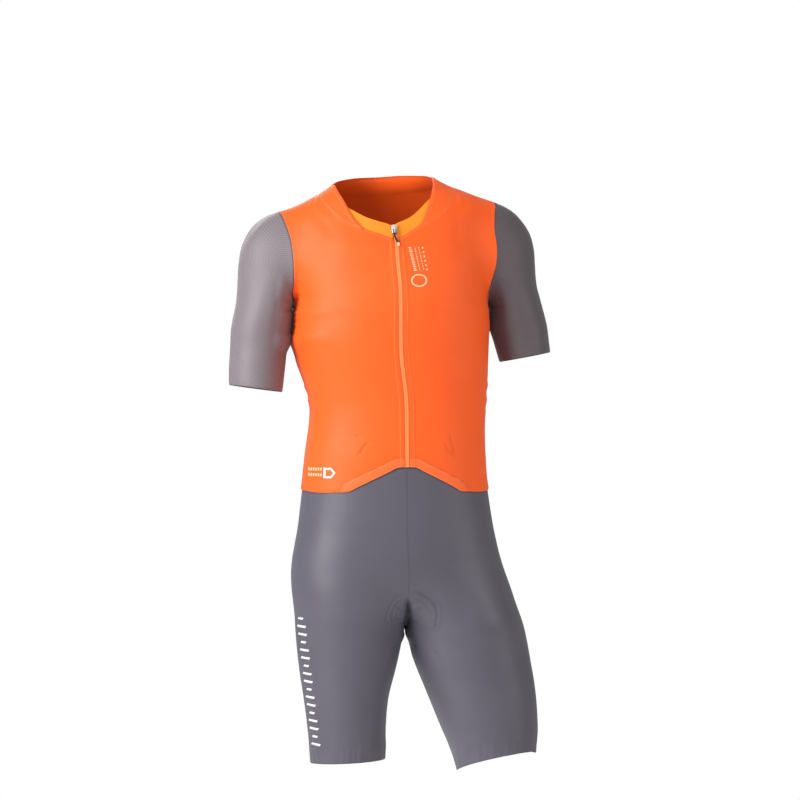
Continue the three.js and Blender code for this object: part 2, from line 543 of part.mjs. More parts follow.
// A solid's surface as a geometry, set in the slider's frame.
function placed(solid, frame) {
  const mesh = solid.getMesh();
  const geometry = new THREE.BufferGeometry();
  geometry.setAttribute("position", new THREE.Float32BufferAttribute(Array.from(mesh.vertProperties), 3));
  geometry.setIndex(Array.from(mesh.triVerts));
  return geometry.applyMatrix4(frame);
}
const block = (x, y, z) => Manifold.cube([x[1] - x[0], y[1] - y[0], z[1] - z[0]]).translate([x[0], y[0], z[0]]);
const outline = (points, depth, z) => CrossSection.ofPolygons([points]).extrude(depth).translate([0, 0, z]);

// The slider's frame: x to the wearer's left, y up along the zip, z out from the cloth.
const SLIDER = { level: -82.4, base: 3, body: 2.6, roof: 5.4, bar: [-1.8, 3.65], barRadius: 0.45 };
const sliderAt = seam([onZip(SLIDER.level), onZip(SLIDER.level + 1)], 1)[0];
const out = outward(sliderAt).setX(0).normalize();
const sideways = V(1, 0, 0);
const sliderFrame = new THREE.Matrix4().makeBasis(sideways, V(0, 0, 0).crossVectors(out, sideways), out)
  .setPosition(sliderAt.clone().addScaledVector(out, SLIDER.base));
const plate = (grow, depth) => outline([[-3.2 - grow, -7], [3.2 + grow, -7], [4.2 + grow, 2], [3.6 + grow, 6.5], [0, 7.5],
  [-3.6 - grow, 6.5], [-4.2 - grow, 2]], depth, 0);
const bridge = block([-1, 1], [-4, 4], [0.5, SLIDER.roof]).subtract(block([-2, 2], [-2.6, 2.6], [2.9, 4.4]));
piece("zip_slider", placed(Manifold.hull([plate(0.3, SLIDER.body - 0.8), plate(-0.5, SLIDER.body)]).add(bridge), sliderFrame),
  "metal");

const [barY, barZ] = SLIDER.bar;
const wire = SLIDER.barRadius;
const bar = Manifold.cylinder(5.6, wire, wire, 16, true).rotate([0, 90, 0]).translate([0, barY, barZ]);
const leg = (x) => block([x - wire, x + wire], [-8.4, barY], [barZ - wire, barZ + wire]);
// The soft tab hangs in a slight curve towards the wearer's left.
const tab = outline([[-2.7, -7.2], [-1.9, -10.8], [-1.1, -14.8], [0.9, -19.2], [2.8, -24], [5.4, -23.4], [3.5, -18.4],
  [1.6, -14.2], [1.1, -10.8], [2.7, -7.2]], 1.6, 2.9);
piece("zip_pull", placed(bar.add(leg(-2.35)).add(leg(2.35)).add(tab), sliderFrame), "rubber");
piece("zip_pull_tip", placed(outline([[2.7, -24.35], [3.1, -27.2], [4.3, -29.6], [6.5, -29.2], [7, -26.4], [5.7, -23.75]], 2, 2.7),
  sliderFrame), "amber");

export default suit;
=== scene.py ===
# The worn cycling skinsuit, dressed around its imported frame: each cloth panel is a thin shell on its solid's
# outer face, with seams, hems, creases and sewing. Lengths here are in millimetres, written to Blender in metres.
import math

import bmesh
import bpy
import numpy as np
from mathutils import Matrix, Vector
from mathutils.bvhtree import BVHTree

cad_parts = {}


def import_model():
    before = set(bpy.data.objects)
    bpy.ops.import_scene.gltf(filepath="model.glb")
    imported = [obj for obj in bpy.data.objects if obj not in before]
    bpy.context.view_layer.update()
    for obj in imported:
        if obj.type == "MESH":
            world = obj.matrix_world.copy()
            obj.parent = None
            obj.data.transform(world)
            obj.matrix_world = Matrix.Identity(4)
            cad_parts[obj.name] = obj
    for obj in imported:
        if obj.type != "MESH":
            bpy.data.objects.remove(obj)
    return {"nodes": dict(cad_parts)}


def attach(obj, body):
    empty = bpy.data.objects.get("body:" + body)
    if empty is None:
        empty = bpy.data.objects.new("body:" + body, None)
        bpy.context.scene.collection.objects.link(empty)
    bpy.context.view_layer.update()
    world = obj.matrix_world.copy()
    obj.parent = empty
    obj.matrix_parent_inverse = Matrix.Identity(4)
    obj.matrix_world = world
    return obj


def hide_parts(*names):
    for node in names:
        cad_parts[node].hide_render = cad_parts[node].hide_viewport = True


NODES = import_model()["nodes"]
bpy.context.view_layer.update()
MM = 0.001
WALL, COIL_WALL, PAD = 1.5, 2.0, 6.0  # thicknesses of the solids: cloth, zip coil, seat pad


# ---------------------------------------- small maths

def unit(v):
    return v / np.maximum(np.linalg.norm(v, axis=-1, keepdims=True), 1e-9)


def smooth(t):
    t = np.clip(t, 0, 1)
    return t * t * (3 - 2 * t)


def bump(d, width):
    return np.exp(-((d / width) ** 2))


def waves(points, size, seed, octaves=2):
    """Soft uneven relief, about -1 to 1, from a few crossing waves of that size in millimetres."""
    r = np.random.default_rng(seed)
    total = np.zeros(points.shape[:-1])
    for octave in range(octaves):
        for _ in range(5):
            direction = unit(r.normal(size=3))
            k = 2 * math.pi / (size * (0.7 + 0.6 * r.random()) / 2**octave)
            total += np.sin(points @ direction * k + r.random() * 6.28) / 2**octave
    return total / 4


def near_line(points, line, normals=None):
    """Distance from each point to a polyline, signed by its side where normals are given, and the share along it."""
    line = np.asarray(line, float)
    starts = lengths_along(line)
    best = np.full(points.shape[:-1], 1e9)
    signed = np.zeros_like(best)
    along = np.zeros_like(best)
    for i, (a, b) in enumerate(zip(line[:-1], line[1:])):
        ab = b - a
        t = np.clip((points - a) @ ab / max(ab @ ab, 1e-9), 0, 1)
        gap = points - (a + t[..., None] * ab)
        d = np.linalg.norm(gap, axis=-1)
        side = 1 if normals is None else np.where((np.cross(ab, gap) * normals).sum(-1) < 0, -1, 1)
        nearer = d < best
        best = np.where(nearer, d, best)
        signed = np.where(nearer, d * side, signed)
        along = np.where(nearer, (starts[i] + t * (starts[i + 1] - starts[i])) / starts[-1], along)
    return (best if normals is None else signed), along


def lengths_along(line):
    """How far along a polyline each of its points lies."""
    return np.concatenate([[0], np.cumsum(np.linalg.norm(np.diff(line, axis=0), axis=1))])


def at_length(d, far, values):
    """Values that belong to a polyline's points, read at a length d along it."""
    return np.array([np.interp(d, far, values[:, k]) for k in range(values.shape[1])])


def share_of(row, first, last):
    """The part of a row of points between two shares of its length."""
    n = len(row) - 1
    return row[int(round(first * n)):int(round(last * n)) + 1]


# ---------------------------------------- panels from the frame's solids

def outer_net(node, wall, across_is_long=False, smaller=False):
    """The net of points on a solid's outer face, its largest unless it is the smaller one of the two that lie a
    wall apart. Rows run up, columns to the viewer's right."""
    me = NODES[node].data
    co = np.empty(len(me.vertices) * 3)
    me.vertices.foreach_get("co", co)
    co = np.round(co.reshape(-1, 3) / MM, 4)
    points, merged = np.unique(co, axis=0, return_inverse=True)
    merged = merged.reshape(-1)
    tris = np.array([[merged[v] for v in p.vertices] for p in me.polygons])
    sides = [tuple(sorted((t[i], t[(i + 1) % 3]))) for t in tris for i in range(3)]
    is_wall = {e for e in set(sides) if abs(np.linalg.norm(points[e[0]] - points[e[1]]) - wall) < 0.004}
    faces = [tuple(t) for n, t in enumerate(tris) if not any(s in is_wall for s in sides[3 * n:3 * n + 3])]
    by_edge = {}
    for n, t in enumerate(faces):
        for i in range(3):
            by_edge.setdefault(frozenset((t[i], t[(i + 1) % 3])), []).append(n)
    seen, sheets = set(), []
    for first in range(len(faces)):
        sheet, queue = [], [first] if first not in seen else []
        seen.add(first)
        while queue:
            sheet.append(queue.pop())
            t = faces[sheet[-1]]
            beside = {m for i in range(3) for m in by_edge[frozenset((t[i], t[(i + 1) % 3]))]} - seen
            seen |= beside
            queue += beside
        sheets += [sheet] if sheet else []

    def area(sheet):
        t = np.array([faces[n] for n in sheet])
        a, b, c = points[t[:, 0]], points[t[:, 1]], points[t[:, 2]]
        return np.linalg.norm(np.cross(b - a, c - a), axis=1).sum()

    sheet = sorted(sheets, key=area)[-2 if smaller else -1]
    uses = {}
    for n in sheet:
        for v in faces[n]:
            uses.setdefault(v, []).append(n)
    corner = next(v for v, ns in uses.items() if len(ns) == 1)
    start = uses[corner][0]
    a, b = [v for v in faces[start] if v != corner]
    place = {corner: (0, 0), a: (1, 0), b: (0, 1)}
    queue, done = [start], {start}
    while queue:
        t = faces[queue.pop()]
        for i in range(3):
            p, q, r = t[i], t[(i + 1) % 3], t[(i + 2) % 3]
            for m in by_edge[frozenset((p, q))]:
                if m not in done:
                    done.add(m)
                    s = next(v for v in faces[m] if v not in (p, q))
                    place.setdefault(s, tuple(place[p][k] + place[q][k] - place[r][k] for k in (0, 1)))
                    queue.append(m)
    cells = np.array(list(place.values()))
    low, high = cells.min(0), cells.max(0)
    net = np.full((*(high - low + 1), 3), np.nan)
    for v, (i, j) in place.items():
        net[i - low[0], j - low[1]] = points[v]
    if np.isnan(net).any():
        raise ValueError(f"{node}: its outer face isn't one net")
    rise = [np.abs(net[-1, :, 2] - net[0, :, 2]).mean(), np.abs(net[:, -1, 2] - net[:, 0, 2]).mean()]
    if (net.shape[0] > net.shape[1]) if across_is_long else rise[1] > rise[0]:
        net = net.transpose(1, 0, 2)
    if net[-1, :, 2].mean() < net[0, :, 2].mean():
        net = net[::-1]
    i, j = np.argwhere(np.all(np.abs(net - points[corner]) < 1e-6, axis=-1))[0]
    across = net[i, min(j + 1, net.shape[1] - 1)] - net[i, max(j - 1, 0)]
    up = net[min(i + 1, net.shape[0] - 1), j] - net[max(i - 1, 0), j]
    t = faces[start]
    out = np.cross(points[t[1]] - points[t[0]], points[t[2]] - points[t[0]])
    return net if np.cross(across, up) @ out > 0 else net[:, ::-1]


def finer(net, times, axis):
    """A smooth curve through the net's points along one axis. It keeps corners sharper than 35 degrees."""
    p = np.moveaxis(net, axis, 0)
    step = np.diff(p, axis=0)
    length = np.linalg.norm(step, axis=-1, keepdims=True)
    way = step / np.maximum(length, 1e-9)
    middle = unit(way[:-1] + way[1:])
    corner = (way[:-1] * way[1:]).sum(-1, keepdims=True) < math.cos(math.radians(35))
    before = np.where(corner, way[:-1], middle)
    after = np.where(corner, way[1:], middle)
    leaving = np.concatenate([unit(2 * way[:1] - before[:1]), after]) * length
    arriving = np.concatenate([before, unit(2 * way[-1:] - after[-1:])]) * length
    rows = []
    for i in range(len(step)):
        for s in np.arange(times) / times:
            s2, s3 = s * s, s**3
            rows.append((2 * s3 - 3 * s2 + 1) * p[i] + (s3 - 2 * s2 + s) * leaving[i]
                        + (3 * s2 - 2 * s3) * p[i + 1] + (s3 - s2) * arriving[i])
    return np.moveaxis(np.array([*rows, p[-1]]), 0, axis)


EDGE = {"left": np.s_[:, 0], "right": np.s_[:, -1], "bottom": np.s_[0], "top": np.s_[-1]}
NEXT_TO = {"left": np.s_[:, 1], "right": np.s_[:, -2], "bottom": np.s_[1], "top": np.s_[-2]}


class Panel:
    """A net of points with its normals, relief, and millimetre coordinates along and across it."""

    def __init__(self, node, p):
        self.node, self.p = node, p
        self.relief = np.zeros(p.shape[:2])
        self.doubled_and_shade = np.zeros(p.shape[:2])
        self.update()

    def update(self):
        du, dv = np.gradient(self.p, axis=1), np.gradient(self.p, axis=0)
        self.n = unit(np.cross(du, dv))
        wide = np.linalg.norm(np.diff(self.p, axis=1), axis=-1)
        tall = np.linalg.norm(np.diff(self.p, axis=0), axis=-1)
        self.from_left = np.concatenate([np.zeros((len(wide), 1)), np.cumsum(wide, 1)], 1)
        self.from_bottom = np.concatenate([np.zeros((1, tall.shape[1])), np.cumsum(tall, 0)], 0)
        self.from_right = self.from_left[:, -1:] - self.from_left
        self.from_top = self.from_bottom[-1:] - self.from_bottom

    def to_edge(self, edge, first=0.0, last=1.0):
        """Straight distance from each point to part of an edge."""
        return near_line(self.p, share_of(self.p[EDGE[edge]], first, last))[0]

    def grow(self, edge, amounts):
        """Moves an edge outwards in its own plane, to close the seam gap."""
        at = EDGE[edge]
        self.p[at] += unit(self.p[at] - self.p[NEXT_TO[edge]]) * amounts[:, None]

    def raise_by(self, relief):
        self.relief = self.relief + relief

    def surface(self):
        return self.p + self.n * self.relief[..., None]

    def line(self, edge, distance, first=0.0, last=1.0):
        """Points and normals of the line that far in from an edge, between two shares of its length."""
        span, p, n = getattr(self, "from_" + edge), self.surface(), self.n
        if edge in ("left", "right"):
            span, p, n = span.T, p.transpose(1, 0, 2), n.transpose(1, 0, 2)
        points, normals = [], []
        for k in share_of(np.arange(span.shape[1]), first, last):
            order = np.argsort(span[:, k])
            points.append(at_length(distance, span[order, k], p[order, k]))
            normals.append(at_length(distance, span[order, k], n[order, k]))
        return np.array(points), unit(np.array(normals))


# ---------------------------------------- meshes

def new_object(name, points, faces, material):
    me = bpy.data.meshes.new(name)
    me.from_pydata((np.asarray(points) * MM).tolist(), [], [tuple(int(v) for v in f) for f in faces])
    me.update()
    me.materials.append(material)
    me.polygons.foreach_set("use_smooth", [True] * len(me.polygons))
    obj = bpy.data.objects.new(name, me)
    bpy.context.collection.objects.link(obj)
    return obj


def add_uv(me, uv):
    layer = me.uv_layers.new(name="cloth")
    loops = np.empty(len(me.loops), int)
    me.loops.foreach_get("vertex_index", loops)
    layer.data.foreach_set("uv", (uv[loops] * MM).ravel())


def add_value(me, name, values):
    me.attributes.new(name, "FLOAT", "POINT").data.foreach_set("value", np.asarray(values, float).ravel())


def quads_of(rows, cols):
    """The four-cornered faces of a net of points, numbered row by row."""
    index = np.arange(rows * cols).reshape(rows, cols)
    return np.stack([index[:-1, :-1], index[:-1, 1:], index[1:, 1:], index[1:, :-1]], -1).reshape(-1, 4)


def loop_of(rows, cols):
    """The points round a net's rim, in order."""
    index = np.arange(rows * cols).reshape(rows, cols)
    return np.concatenate([index[0, :-1], index[:-1, -1], index[-1, :0:-1], index[:0:-1, 0]])


def closed_faces(rows, cols):
    """Faces of a closed body: a net, the same net below it and turned over, and a rim."""
    quads, loop, below = quads_of(rows, cols), loop_of(rows, cols), rows * cols
    after = np.roll(loop, -1)
    return np.concatenate([quads, quads[:, ::-1] + below, np.stack([loop, loop + below, after + below, after], -1)])


def layered(panel, name, material, outer, inner, along, seam):
    """A closed body between two nets laid on a panel. Its UV map holds places across and along the cloth."""
    rows, cols = panel.p.shape[:2]
    points = np.concatenate([outer.reshape(-1, 3), inner.reshape(-1, 3)])
    obj = new_object(name, points, closed_faces(rows, cols), material)
    uv = np.stack([panel.from_left - panel.from_left[:, -1:] / 2, along], -1).reshape(-1, 2)
    add_uv(obj.data, np.concatenate([uv, uv]))
    # The "seam" value darkens the cloth at seam lines, and as painted shade.
    add_value(obj.data, "seam", np.concatenate([seam.ravel()] * 2))
    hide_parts(panel.node)
    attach(obj, "garment")
    return obj


def shell(panel, name, material, thick=0.9, seam=None):
    """A closed thin shell: the panel's surface, the same net one thickness lower, and a rim."""
    rows, cols = panel.p.shape[:2]
    inner = panel.p + panel.n * (np.where(panel.relief < 0, 1.0, 0.8) * panel.relief - thick)[..., None]
    obj = layered(panel, name, material, panel.surface(), inner,
                  panel.from_bottom.mean(1, keepdims=True).repeat(cols, 1),
                  np.zeros((rows, cols)) if seam is None else seam)
    add_value(obj.data, "doubled_and_shade", np.concatenate([panel.doubled_and_shade.ravel()] * 2))
    ends = np.empty(len(obj.data.edges) * 2, int)
    obj.data.edges.foreach_get("vertices", ends)
    ends = ends.reshape(-1, 2)
    layer = ends // (rows * cols)
    on_rim = np.isin(ends % (rows * cols), loop_of(rows, cols)).all(1) & (layer[:, 0] == layer[:, 1])
    obj.data.attributes.new("sharp_edge", "BOOLEAN", "EDGE").data.foreach_set("value", on_rim)
    return obj


def rod(points, faces, rings):
    """Adds a closed bar that runs through rings of points."""
    base, k = len(points), len(rings[0])
    points += [q for ring in rings for q in ring]
    for a in range(base, base + (len(rings) - 1) * k, k):
        faces += [(a + i, a + (i + 1) % k, a + k + (i + 1) % k, a + k + i) for i in range(k)]
    faces += [tuple(range(base, base + k))[::-1], tuple(range(len(points) - k, len(points)))]


STITCH_ENDS = (0.0, 0.5), (0.18, 1.0), (0.82, 1.0), (1.0, 0.5)  # share along a stitch, share of its thickness
STITCH_RING = (-0.5, 0.0), (-0.3, 0.8), (0.3, 0.8), (0.5, 0.0)  # its section: across, up


def thread(name, lines, material, stitch=2.8, gap=0.7, width=0.55, height=0.3, sunk=0.08):
    """Stitches along lines of points and normals: one small rounded bar each."""
    points, faces = [], []
    for line, normals in lines:
        far = lengths_along(line)
        for s in np.arange(0.5 * gap, far[-1] - stitch, stitch + gap):
            stations = [(at_length(s + t * stitch, far, line), unit(at_length(s + t * stitch, far, normals)), thin)
                        for t, thin in STITCH_ENDS]
            way = unit(stations[-1][0] - stations[0][0])
            rod(points, faces, [[p + unit(np.cross(way, n)) * u * width * thin + n * (v * height * thin - sunk)
                                 for u, v in STITCH_RING] for p, n, thin in stations])
    obj = new_object(name, points, faces, material)
    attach(obj, "garment")
    return obj


# ---------------------------------------- materials

def srgb(*levels):
    """A linear colour from display levels of 0 to 255."""
    return *(c / 12.92 if c <= 0.04045 else ((c + 0.055) / 1.055) ** 2.4 for c in (v / 255 for v in levels)), 1


def darker(colour, share):
    return tuple(c * share for c in colour[:3]) + (1,)


class Nodes:
    """A short way to write a material's nodes."""

    def __init__(self, name, rough, specular, metal=0.0, sheen=0.0, sheen_rough=0.5):
        self.material = bpy.data.materials.new(name)
        self.material.use_nodes = True
        self.tree = self.material.node_tree
        self.shader = self.tree.nodes["Principled BSDF"]
        for socket, value in (("Roughness", rough), ("Specular IOR Level", specular), ("Metallic", metal),
                              ("Sheen Weight", sheen), ("Sheen Roughness", sheen_rough)):
            self.shader.inputs[socket].default_value = value
        self.place = self.add("TexCoord").outputs["Object"]

    def feed(self, socket, value):
        """Links a socket to another, or sets it to a constant."""
        if isinstance(value, bpy.types.NodeSocket):
            self.tree.links.new(value, socket)
        else:
            socket.default_value = value

    def add(self, kind, inputs=None, **settings):
        node = self.tree.nodes.new("ShaderNode" + kind)
        for key, value in settings.items():
            setattr(node, key, value)
        for key, value in (inputs or {}).items():
            self.feed(node.inputs[key], value)
        return node

    def math(self, operation, a, b=0.0):
        return self.add("Math", {0: a, 1: b}, operation=operation).outputs[0]

    def times(self, a, b):
        return self.math("MULTIPLY", a, b)

    def value_of(self, attribute):
        return self.add("Attribute", attribute_name=attribute).outputs["Fac"]

    def cloth_place(self):
        """Where a point lies across and along its cloth, in metres."""
        return self.add("SeparateXYZ", {0: self.add("UVMap", uv_map="cloth").outputs[0]}).outputs[:2]

    def mix(self, share, a, b):
        node = self.add("Mix", data_type="RGBA")
        for key, value in (("Factor", share), ("A", a), ("B", b)):
            kind = "VALUE" if key == "Factor" else "RGBA"
            self.feed(next(s for s in node.inputs if s.name == key and s.type == kind), value)
        return next(o for o in node.outputs if o.type == "RGBA")

    def band(self, value, low, high):
        """0 below low, 1 above high."""
        return self.add("MapRange", {"Value": value, "From Min": low, "From Max": high}).outputs[0]

    def noise(self, size, detail=2.0):
        """Noise whose blobs are about that many millimetres wide."""
        return self.add("TexNoise", {"Vector": self.place, "Scale": 1 / (size * MM), "Detail": detail}).outputs["Fac"]

    def finish(self, colour, height, strength, distance, rough=None):
        """Ends a material with its colour, its bump and, where given, an uneven roughness."""
        self.feed(self.shader.inputs["Base Color"], colour)
        if rough is not None:
            self.feed(self.shader.inputs["Roughness"], rough)
        normal = self.add("Bump", {"Height": height, "Strength": strength, "Distance": distance})
        self.feed(self.shader.inputs["Normal"], normal.outputs[0])
        return self.material


def knit(n, pitch):
    """Rows of small V-shaped knit loops that follow the cloth, that many millimetres apart."""
    x, y = (n.times(socket, 1 / (pitch * MM)) for socket in n.cloth_place())
    column = n.math("FRACT", x)
    fold = n.math("ABSOLUTE", n.math("SUBTRACT", column, 0.5))
    slant = n.math("FRACT", n.math("ADD", n.times(y, 0.8), fold))
    return n.times(n.math("SINE", n.times(slant, math.pi)), n.math("SINE", n.times(column, math.pi)))


def satin(name, colour, deep, rough=0.5, sheen=0.05, pitch=0.9, seam_and_shade_dark=0.6, specular=0.3, pale=None):
    """Smooth stretch knit with a soft sheen. Its colour drifts a little, deepens in the hollows between its loops as
    painted shade, and darkens along seam lines and where painted shade is marked.
    """
    n = Nodes(name, rough, specular=specular, sheen=sheen, sheen_rough=0.4)
    loops = knit(n, pitch)
    tone = n.mix(n.times(n.band(n.noise(70), 0.35, 0.65), 0.35), colour, deep)
    # Painted shade: the hollows between the knit's loops are a little deeper in colour.
    tone = n.mix(n.times(n.math("SUBTRACT", 1.0, loops), 0.10), tone, deep)
    if pale:
        tone = n.mix(n.value_of("doubled_and_shade"), tone, pale)
    # Darker at seam lines and with painted shade.
    tone = n.mix(n.times(n.value_of("seam"), seam_and_shade_dark), tone, darker(deep, 0.45))
    gloss = n.math("ADD", n.times(n.noise(24), 0.06), rough - 0.03)
    return n.finish(tone, loops, 0.22, 0.00012, gloss)


def mesh_cloth(name, colour, hole, light):
    """Open warp knit: a lattice of fine diagonal ribs round small darker diamonds. A sleeve can be darkened all over
    with painted shade.
    """
    n = Nodes(name, 0.5, specular=0.4, sheen=0.12, sheen_rough=0.45)
    across, up = n.cloth_place()

    def ribs(wide, tall):
        turn = n.math("ADD", n.times(across, 1 / (wide * MM)), n.times(up, 1 / (tall * MM)))
        return n.math("ABSOLUTE", n.math("SINE", n.times(turn, math.pi)))

    hollow = n.times(ribs(3.4, 4.4), ribs(3.4, -4.4))
    fine = n.times(ribs(1.1, 1.5), ribs(1.1, -1.5))
    tone = n.mix(n.band(hollow, 0.25, 0.85), light, colour)
    tone = n.mix(n.times(n.band(hollow, 0.55, 0.95), 0.8), tone, hole)
    tone = n.mix(n.times(n.band(n.noise(60), 0.4, 0.7), 0.2), tone, light)
    # Painted shade: where the value is set, the whole sleeve is darkened towards near black.
    tone = n.mix(n.times(n.value_of("doubled_and_shade"), 0.74), tone, srgb(42, 33, 38))
    tone = n.mix(n.times(n.value_of("seam"), 0.6), tone, darker(hole, 0.4))
    height = n.math("ADD", n.math("SUBTRACT", 1.0, hollow), n.times(fine, 0.3))
    return n.finish(tone, height, 0.45, 0.0003)


def sewn(name, colour, deep):
    """Sewing thread, its colour twisting along it."""
    n = Nodes(name, 0.55, specular=0.3)
    twist = n.noise(0.6, 1.0)
    return n.finish(n.mix(twist, colour, deep), twist, 0.3, 0.0001)


def hard(name, colour, deep, rough, metal=0.0, grain=2.0):
    """Metal, plastic, rubber or print, with a fine grain."""
    n = Nodes(name, rough, specular=0.5, metal=metal)
    wear = n.noise(grain, 3.0)
    gloss = n.math("ADD", n.times(wear, 0.2), rough - 0.1)
    return n.finish(n.mix(n.band(wear, 0.35, 0.75), colour, deep), wear, 0.08, 0.0001, gloss)


ORANGE = satin("orange_cloth_satin", srgb(250, 95, 24), srgb(243, 85, 15), rough=0.54, sheen=0.06, specular=0.32,
               pale=srgb(255, 128, 74))
AMBER = satin("amber_cloth_satin", srgb(247, 142, 40), srgb(242, 130, 30), rough=0.55, specular=0.2)
SHORTS = satin("shorts_cloth_satin", srgb(88, 86, 98), srgb(78, 76, 87), rough=0.42, seam_and_shade_dark=0.75, specular=0.4)
SLEEVES = mesh_cloth("sleeve_cloth_mesh", srgb(104, 96, 102), srgb(76, 68, 74), srgb(128, 119, 125))
ORANGE_THREAD = sewn("orange_thread", srgb(255, 160, 110), srgb(252, 130, 74))
GREY_THREAD = sewn("grey_thread", srgb(112, 111, 122), srgb(80, 79, 88))
TAPE = satin("zip_tape_weave", srgb(255, 140, 80), srgb(250, 122, 62), rough=0.6, pitch=0.7)
COIL = hard("zip_coil_nylon", srgb(255, 158, 100), srgb(240, 128, 70), 0.42, grain=1.2)
METAL = hard("zip_metal_polish", srgb(238, 232, 230), srgb(206, 200, 200), 0.36, metal=0.55, grain=1.5)
RUBBER = hard("zip_pull_moulded", srgb(34, 28, 26), srgb(20, 16, 15), 0.5, grain=0.8)
TIP = hard("zip_tip_moulded", srgb(255, 214, 176), srgb(250, 192, 146), 0.45, grain=0.8)
PRINT = hard("print_white", srgb(240, 238, 238), srgb(214, 212, 214), 0.6, grain=1.5)
PALE_PRINT = hard("print_pale_orange", srgb(255, 196, 162), srgb(255, 176, 134), 0.6, grain=1.5)
PAD_CLOTH = satin("pad_brushed_knit", srgb(70, 74, 86), srgb(52, 55, 66), rough=0.8, sheen=0.4, pitch=1.4)


# ---------------------------------------- relief shared by all the cloth

# A side to look from: the way to the viewer's right, and the way towards the viewer.
SIDES = {"front": ((0.993, -0.122, 0), (-0.122, -0.993, 0)), "back": ((-1, 0, 0), (0, 1, 0)),
         "left": ((0, 1, 0), (1, 0, 0)), "right": ((0, -1, 0), (-1, 0, 0))}
TRACE_STEP, TRACE_REACH = 5, 6  # along a traced line, and from it to the net


def trace(panel, side, points):
    """The line on a panel that passes under points given as (to the viewer's right, height) from a side."""
    right, towards = (np.array(v, float) for v in SIDES[side])
    facing = (panel.n @ towards) > 0.05
    if not facing.any():
        return None
    where = panel.p[facing]
    seen = np.stack([where @ right, where[:, 2]], -1)
    points = np.asarray(points, float)
    far = lengths_along(points)
    found, lastly = [], None
    for at in np.linspace(0, far[-1], max(int(far[-1] / TRACE_STEP), 2) + 1):
        d = np.linalg.norm(seen - at_length(at, far, points), axis=1)
        i = int(np.argmin(d))
        if d[i] < TRACE_REACH and i != lastly:
            found.append(where[i])
            lastly = i
    return np.array(found) if len(found) > 1 else None


def crease(panels, side, points, height, width, lean=0.6, seed=0, dark=0.0, ends=3.2):
    """A soft uneven ridge along a line with a trough beside it: negative heights make a trough with a ridge. Where
    dark is given, the line is painted darker: painted shade.
    """
    for panel in panels:
        line = trace(panel, side, points)
        if line is None:
            continue
        d, along = near_line(panel.p, line, panel.n)
        fade = smooth(np.minimum(along, 1 - along) * ends + 0.02)
        uneven = 1 + 0.3 * waves(panel.p, 26, seed + 11, 1)
        shape = bump(d, width) - lean * bump(d - 1.7 * width, 1.25 * width)
        panel.raise_by(height * fade * uneven * shape)
        if dark:
            mark(panel, dark * fade * bump(d, 0.8 * width))


def in_fold(z):
    """1 where the armhole runs through the fold under the arm."""
    return smooth((-155 - z) / 20) * smooth((z + 230) / 15)


def close(panel, extra, *edges):
    """Grows edges over their half of the seam gap, and by the extra where they run through the fold under the arm."""
    for edge in edges:
        panel.grow(edge, SEAM_OVERLAP + extra * in_fold(panel.p[EDGE[edge]][:, 2]))


def fine_panel(node, across, up, across_is_long=False):
    """A panel on its solid's net, with each cell split that many times across and up."""
    return Panel(node, finer(finer(outer_net(node, WALL, across_is_long), across, 1), up, 0))


SEAM_OVERLAP = 0.16  # half the solids' seam gap, and a little more
FRONTS = [fine_panel("front_" + side, 6, 9) for side in ("right", "left")]
BACK = fine_panel("back", 7, 9)
BAND = fine_panel("neck_band", 6, 12)
INSERTS = [fine_panel("neck_insert_" + side, 8, 12, across_is_long=True) for side in ("right", "left")]
SLEEVE = [fine_panel("sleeve_" + side, 9, 8) for side in ("right", "left")]
LEGS = [fine_panel("shorts_" + side, 9, 9) for side in ("right", "left")]
BODY = [*FRONTS, BACK]
ALL = [*BODY, BAND, *INSERTS, *SLEEVE, *LEGS]
ZIP_EDGE, SIDE_EDGE = ("right", "left"), ("left", "right")  # of the right and the left front
SLEEVE[1].doubled_and_shade[:] = 0.78  # painted shade darkens the left sleeve, on the side away from the key lamp

for panel, side_edge in zip(FRONTS, SIDE_EDGE):
    close(panel, 0.3, side_edge)
    close(panel, 0.0, "top")
close(BACK, 0.3, "left", "right")
close(BACK, 0.0, "top")
close(BAND, 0.0, "bottom")
for panel in SLEEVE:
    close(panel, 1.4, "top")
for panel in (*SLEEVE, *LEGS):
    close(panel, 0.0, "left", "right")
for panel in ALL:
    panel.update()
    panel.raise_by(0.22 * waves(panel.p, 75, 3))


def touch(panel, towards, low, high, amount):
    """Swells cloth that presses on its neighbour under the arm, where it faces that way."""
    z = panel.p[..., 2]
    facing = smooth((panel.n @ np.array(towards, float) - 0.45) / 0.4)
    panel.raise_by(amount * facing * smooth((z - low) / 22) * smooth((high - z) / 10))


# Under each arm: the way outwards, then the heights and amounts of the swelling on the body and on the sleeve. On
# the right, the two ends of the contact press harder.
for k, outwards, (low, high, amount), arm in (
        (0, -1, (-268, -196, 2.2), (-270, -200, 2.8)), (0, -1, (-228, -184, 1.8), (-225, -184, 2.9)),
        (0, -1, (-276, -234, 2.2), (-273, -234, 2.8)), (1, 1, (-246, -190, 1.4), (-248, -192, 1.6))):
    for panel in (FRONTS[k], BACK):
        touch(panel, (outwards, 0, 0), low, high, amount)
    touch(SLEEVE[k], (-outwards, 0, 0), *arm)


def seam_line(panel, *edges, ridge=0.35, groove=0.55, first=0.0, last=1.0):
    """Sewn edges: a low ridge where the seam's layers lie, and a groove at the join. Returns how near they are."""
    near = np.zeros(panel.p.shape[:2])
    for edge in edges:
        d = panel.to_edge(edge, first, last)
        panel.raise_by(ridge * bump(d, 3.4) - groove * bump(d, 1.3))
        near = np.maximum(near, bump(d, 1.2))
    return near


def step_in(panel, d, reach, height):
    """Cloth lying double up to a distance from an edge."""
    panel.raise_by(height * (1 - smooth(d - reach + 0.5)))


# ---------------------------------------- the body: zip placket, hem facing, seams

